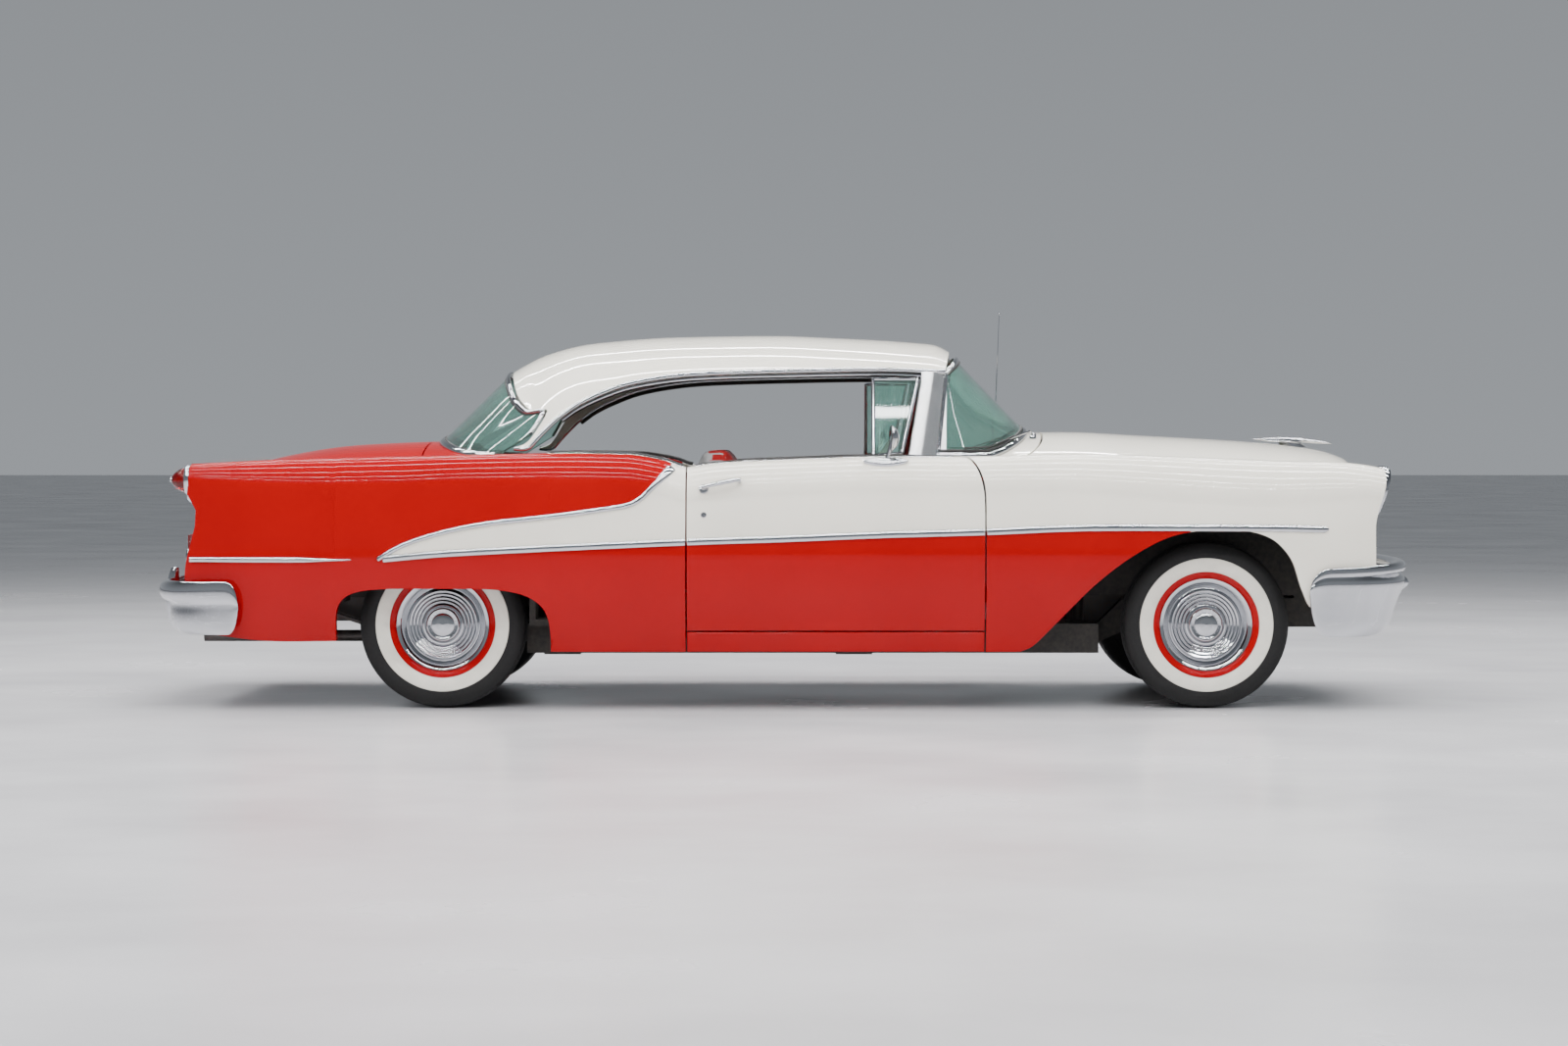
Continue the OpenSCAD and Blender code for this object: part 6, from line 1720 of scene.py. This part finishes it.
rows = []
for k in steps(0, 1, 60):
    x = mix(2010, 2342, k)
    base = top_z(x, 0) if x < HOOD_NOSE else top_z(HOOD_NOSE, 0)
    w = 15 * pw(math.sin(math.pi * (0.04 + 0.93 * k)), 0.7)
    h = 10 * pw(math.sin(math.pi * (0.04 + 0.93 * k)), 0.8)
    z = mix(1094, 1076, k) + 7 * math.sin(math.pi * k)
    rows.append([(x, w * math.cos(a), z + h * math.sin(a)) for a in angles(20)])
loft("ornament_body", rows, ["chrome"], "hood_body", smooth_angle=60)
for f in (-1, 1):
    wing = [(2030, 8 * f, 1094), (2080, 92 * f, 1086), (2150, 98 * f, 1084), (2215, 10 * f, 1087)]
    vs = [(x, y, z + d) for d in (2.5, -2.5) for x, y, z in wing]
    make("ornament_wing_" + ("right" if f < 0 else "left"), vs, prism_faces(4),
         ["chrome"], "hood_body", bevel=2.0)
rows = []
for k in steps(0, 1, 12):
    x0 = mix(2130, 2110, k)
    x1 = mix(2235, 2200, k)
    z = mix(top_z(2180, 0) - 3, 1086, k)
    rows.append([(mix(x0, x1, 0.5) + (x1 - x0) / 2 * math.cos(a), 9 * math.sin(a), z) for a in angles(24)])
make("ornament_foot", [p for r in rows for p in r], grid_faces(13, 24, wrap_v=True), ["chrome"],
     "hood_body", smooth_angle=60)

# radio antenna
bx, by = XF - 780, 650
bz = top_z(bx, by) + 2
lean = Vector((math.sin(math.radians(2.2)), 0, math.cos(math.radians(2.2))))
turned("antenna_base", [(18, -3), (18, 4), (14, 10), (12, 36), (6, 42), (0.1, 43)], (bx, by, bz), lean,
       ["chrome"], "car_body", stands_for=["antenna"], n=36)
tube("antenna_mast", [tuple(Vector((bx, by, bz)) + lean * mix(30, 632, k)) for k in steps(0, 1, 12)],
     [3.2 - 1.6 * k for k in steps(0, 1, 12)], ["chrome"], "car_body", sides=10)
turned("antenna_tip", [(0.1, 628), (3, 630), (4, 634), (3, 638), (0.1, 639)], (bx, by, bz), lean,
       ["chrome"], "car_body", n=20)

# ---------------------------------------------------------------- finish of the CAD nodes still shown
KEEP = {"frame": "under", "floor_pan": "under", "inner_fenders": "under", "engine": "steel",
        "radiator": "under", "front_suspension": "steel", "rear_axle": "steel", "exhaust": "steel",
        "fuel_tank": "steel", "knuckle_right": "steel", "knuckle_left": "steel", "steering_link": "steel"}
for name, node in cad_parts.items():
    if node.hide_render:
        continue
    key = KEEP.get(name, "under")
    node.data.materials.clear()
    node.data.materials.append(M[key])

# ---------------------------------------------------------------- floor, light, camera
bpy.ops.mesh.primitive_plane_add(size=240, location=(0, 0, 0))
floor = bpy.context.active_object
floor.name = "studio_floor"
floor.data.materials.append(new_material("studio_floor", (0.63, 0.62, 0.64), rough=0.24, spread=0.12,
                                         scale=0.8, tint=0.04, bump=0.1, bump_scale=14))
for i in range(7):
    bpy.ops.object.light_add(type="AREA", location=(0, -9.0 + 2.6 * i, 6.6))
    lamp = bpy.context.active_object
    lamp.name = f"strip_light_{i}"
    lamp.data.shape = "RECTANGLE"
    lamp.data.size = 14
    lamp.data.size_y = 0.12
    lamp.data.energy = 500
bpy.ops.object.light_add(type="AREA", location=(-3, -13, 5.5),
                         rotation=(math.radians(62), 0, math.radians(-12)))
key_light = bpy.context.active_object
key_light.data.size = 7
key_light.data.energy = 620
key_light.visible_glossy = False
world = bpy.data.worlds.new("studio")
bpy.context.scene.world = world
world.use_nodes = True
wt = world.node_tree
sky = wt.nodes.new("ShaderNodeTexCoord")
split = wt.nodes.new("ShaderNodeSeparateXYZ")
fade = wt.nodes.new("ShaderNodeValToRGB")
wt.links.new(sky.outputs["Generated"], split.inputs["Vector"])
wt.links.new(split.outputs["Z"], fade.inputs["Fac"])
fade.color_ramp.elements[0].color = (0.34, 0.36, 0.385, 1)
fade.color_ramp.elements[0].position = 0.0
fade.color_ramp.elements[1].color = (0.12, 0.13, 0.14, 1)
fade.color_ramp.elements[1].position = 0.6
wt.links.new(fade.outputs["Color"], wt.nodes["Background"].inputs["Color"])
wt.nodes["Background"].inputs["Strength"].default_value = 1.0

cam_data = bpy.data.cameras.new("view")
cam_data.lens = 85
cam_data.sensor_width = 36
cam_data.clip_end = 200
cam = bpy.data.objects.new("view", cam_data)
bpy.context.scene.collection.objects.link(cam)
cam.location = (0, -15.84, 1.065)
cam.rotation_euler = (math.radians(90 - 1.19), 0, 0)
bpy.context.scene.camera = cam
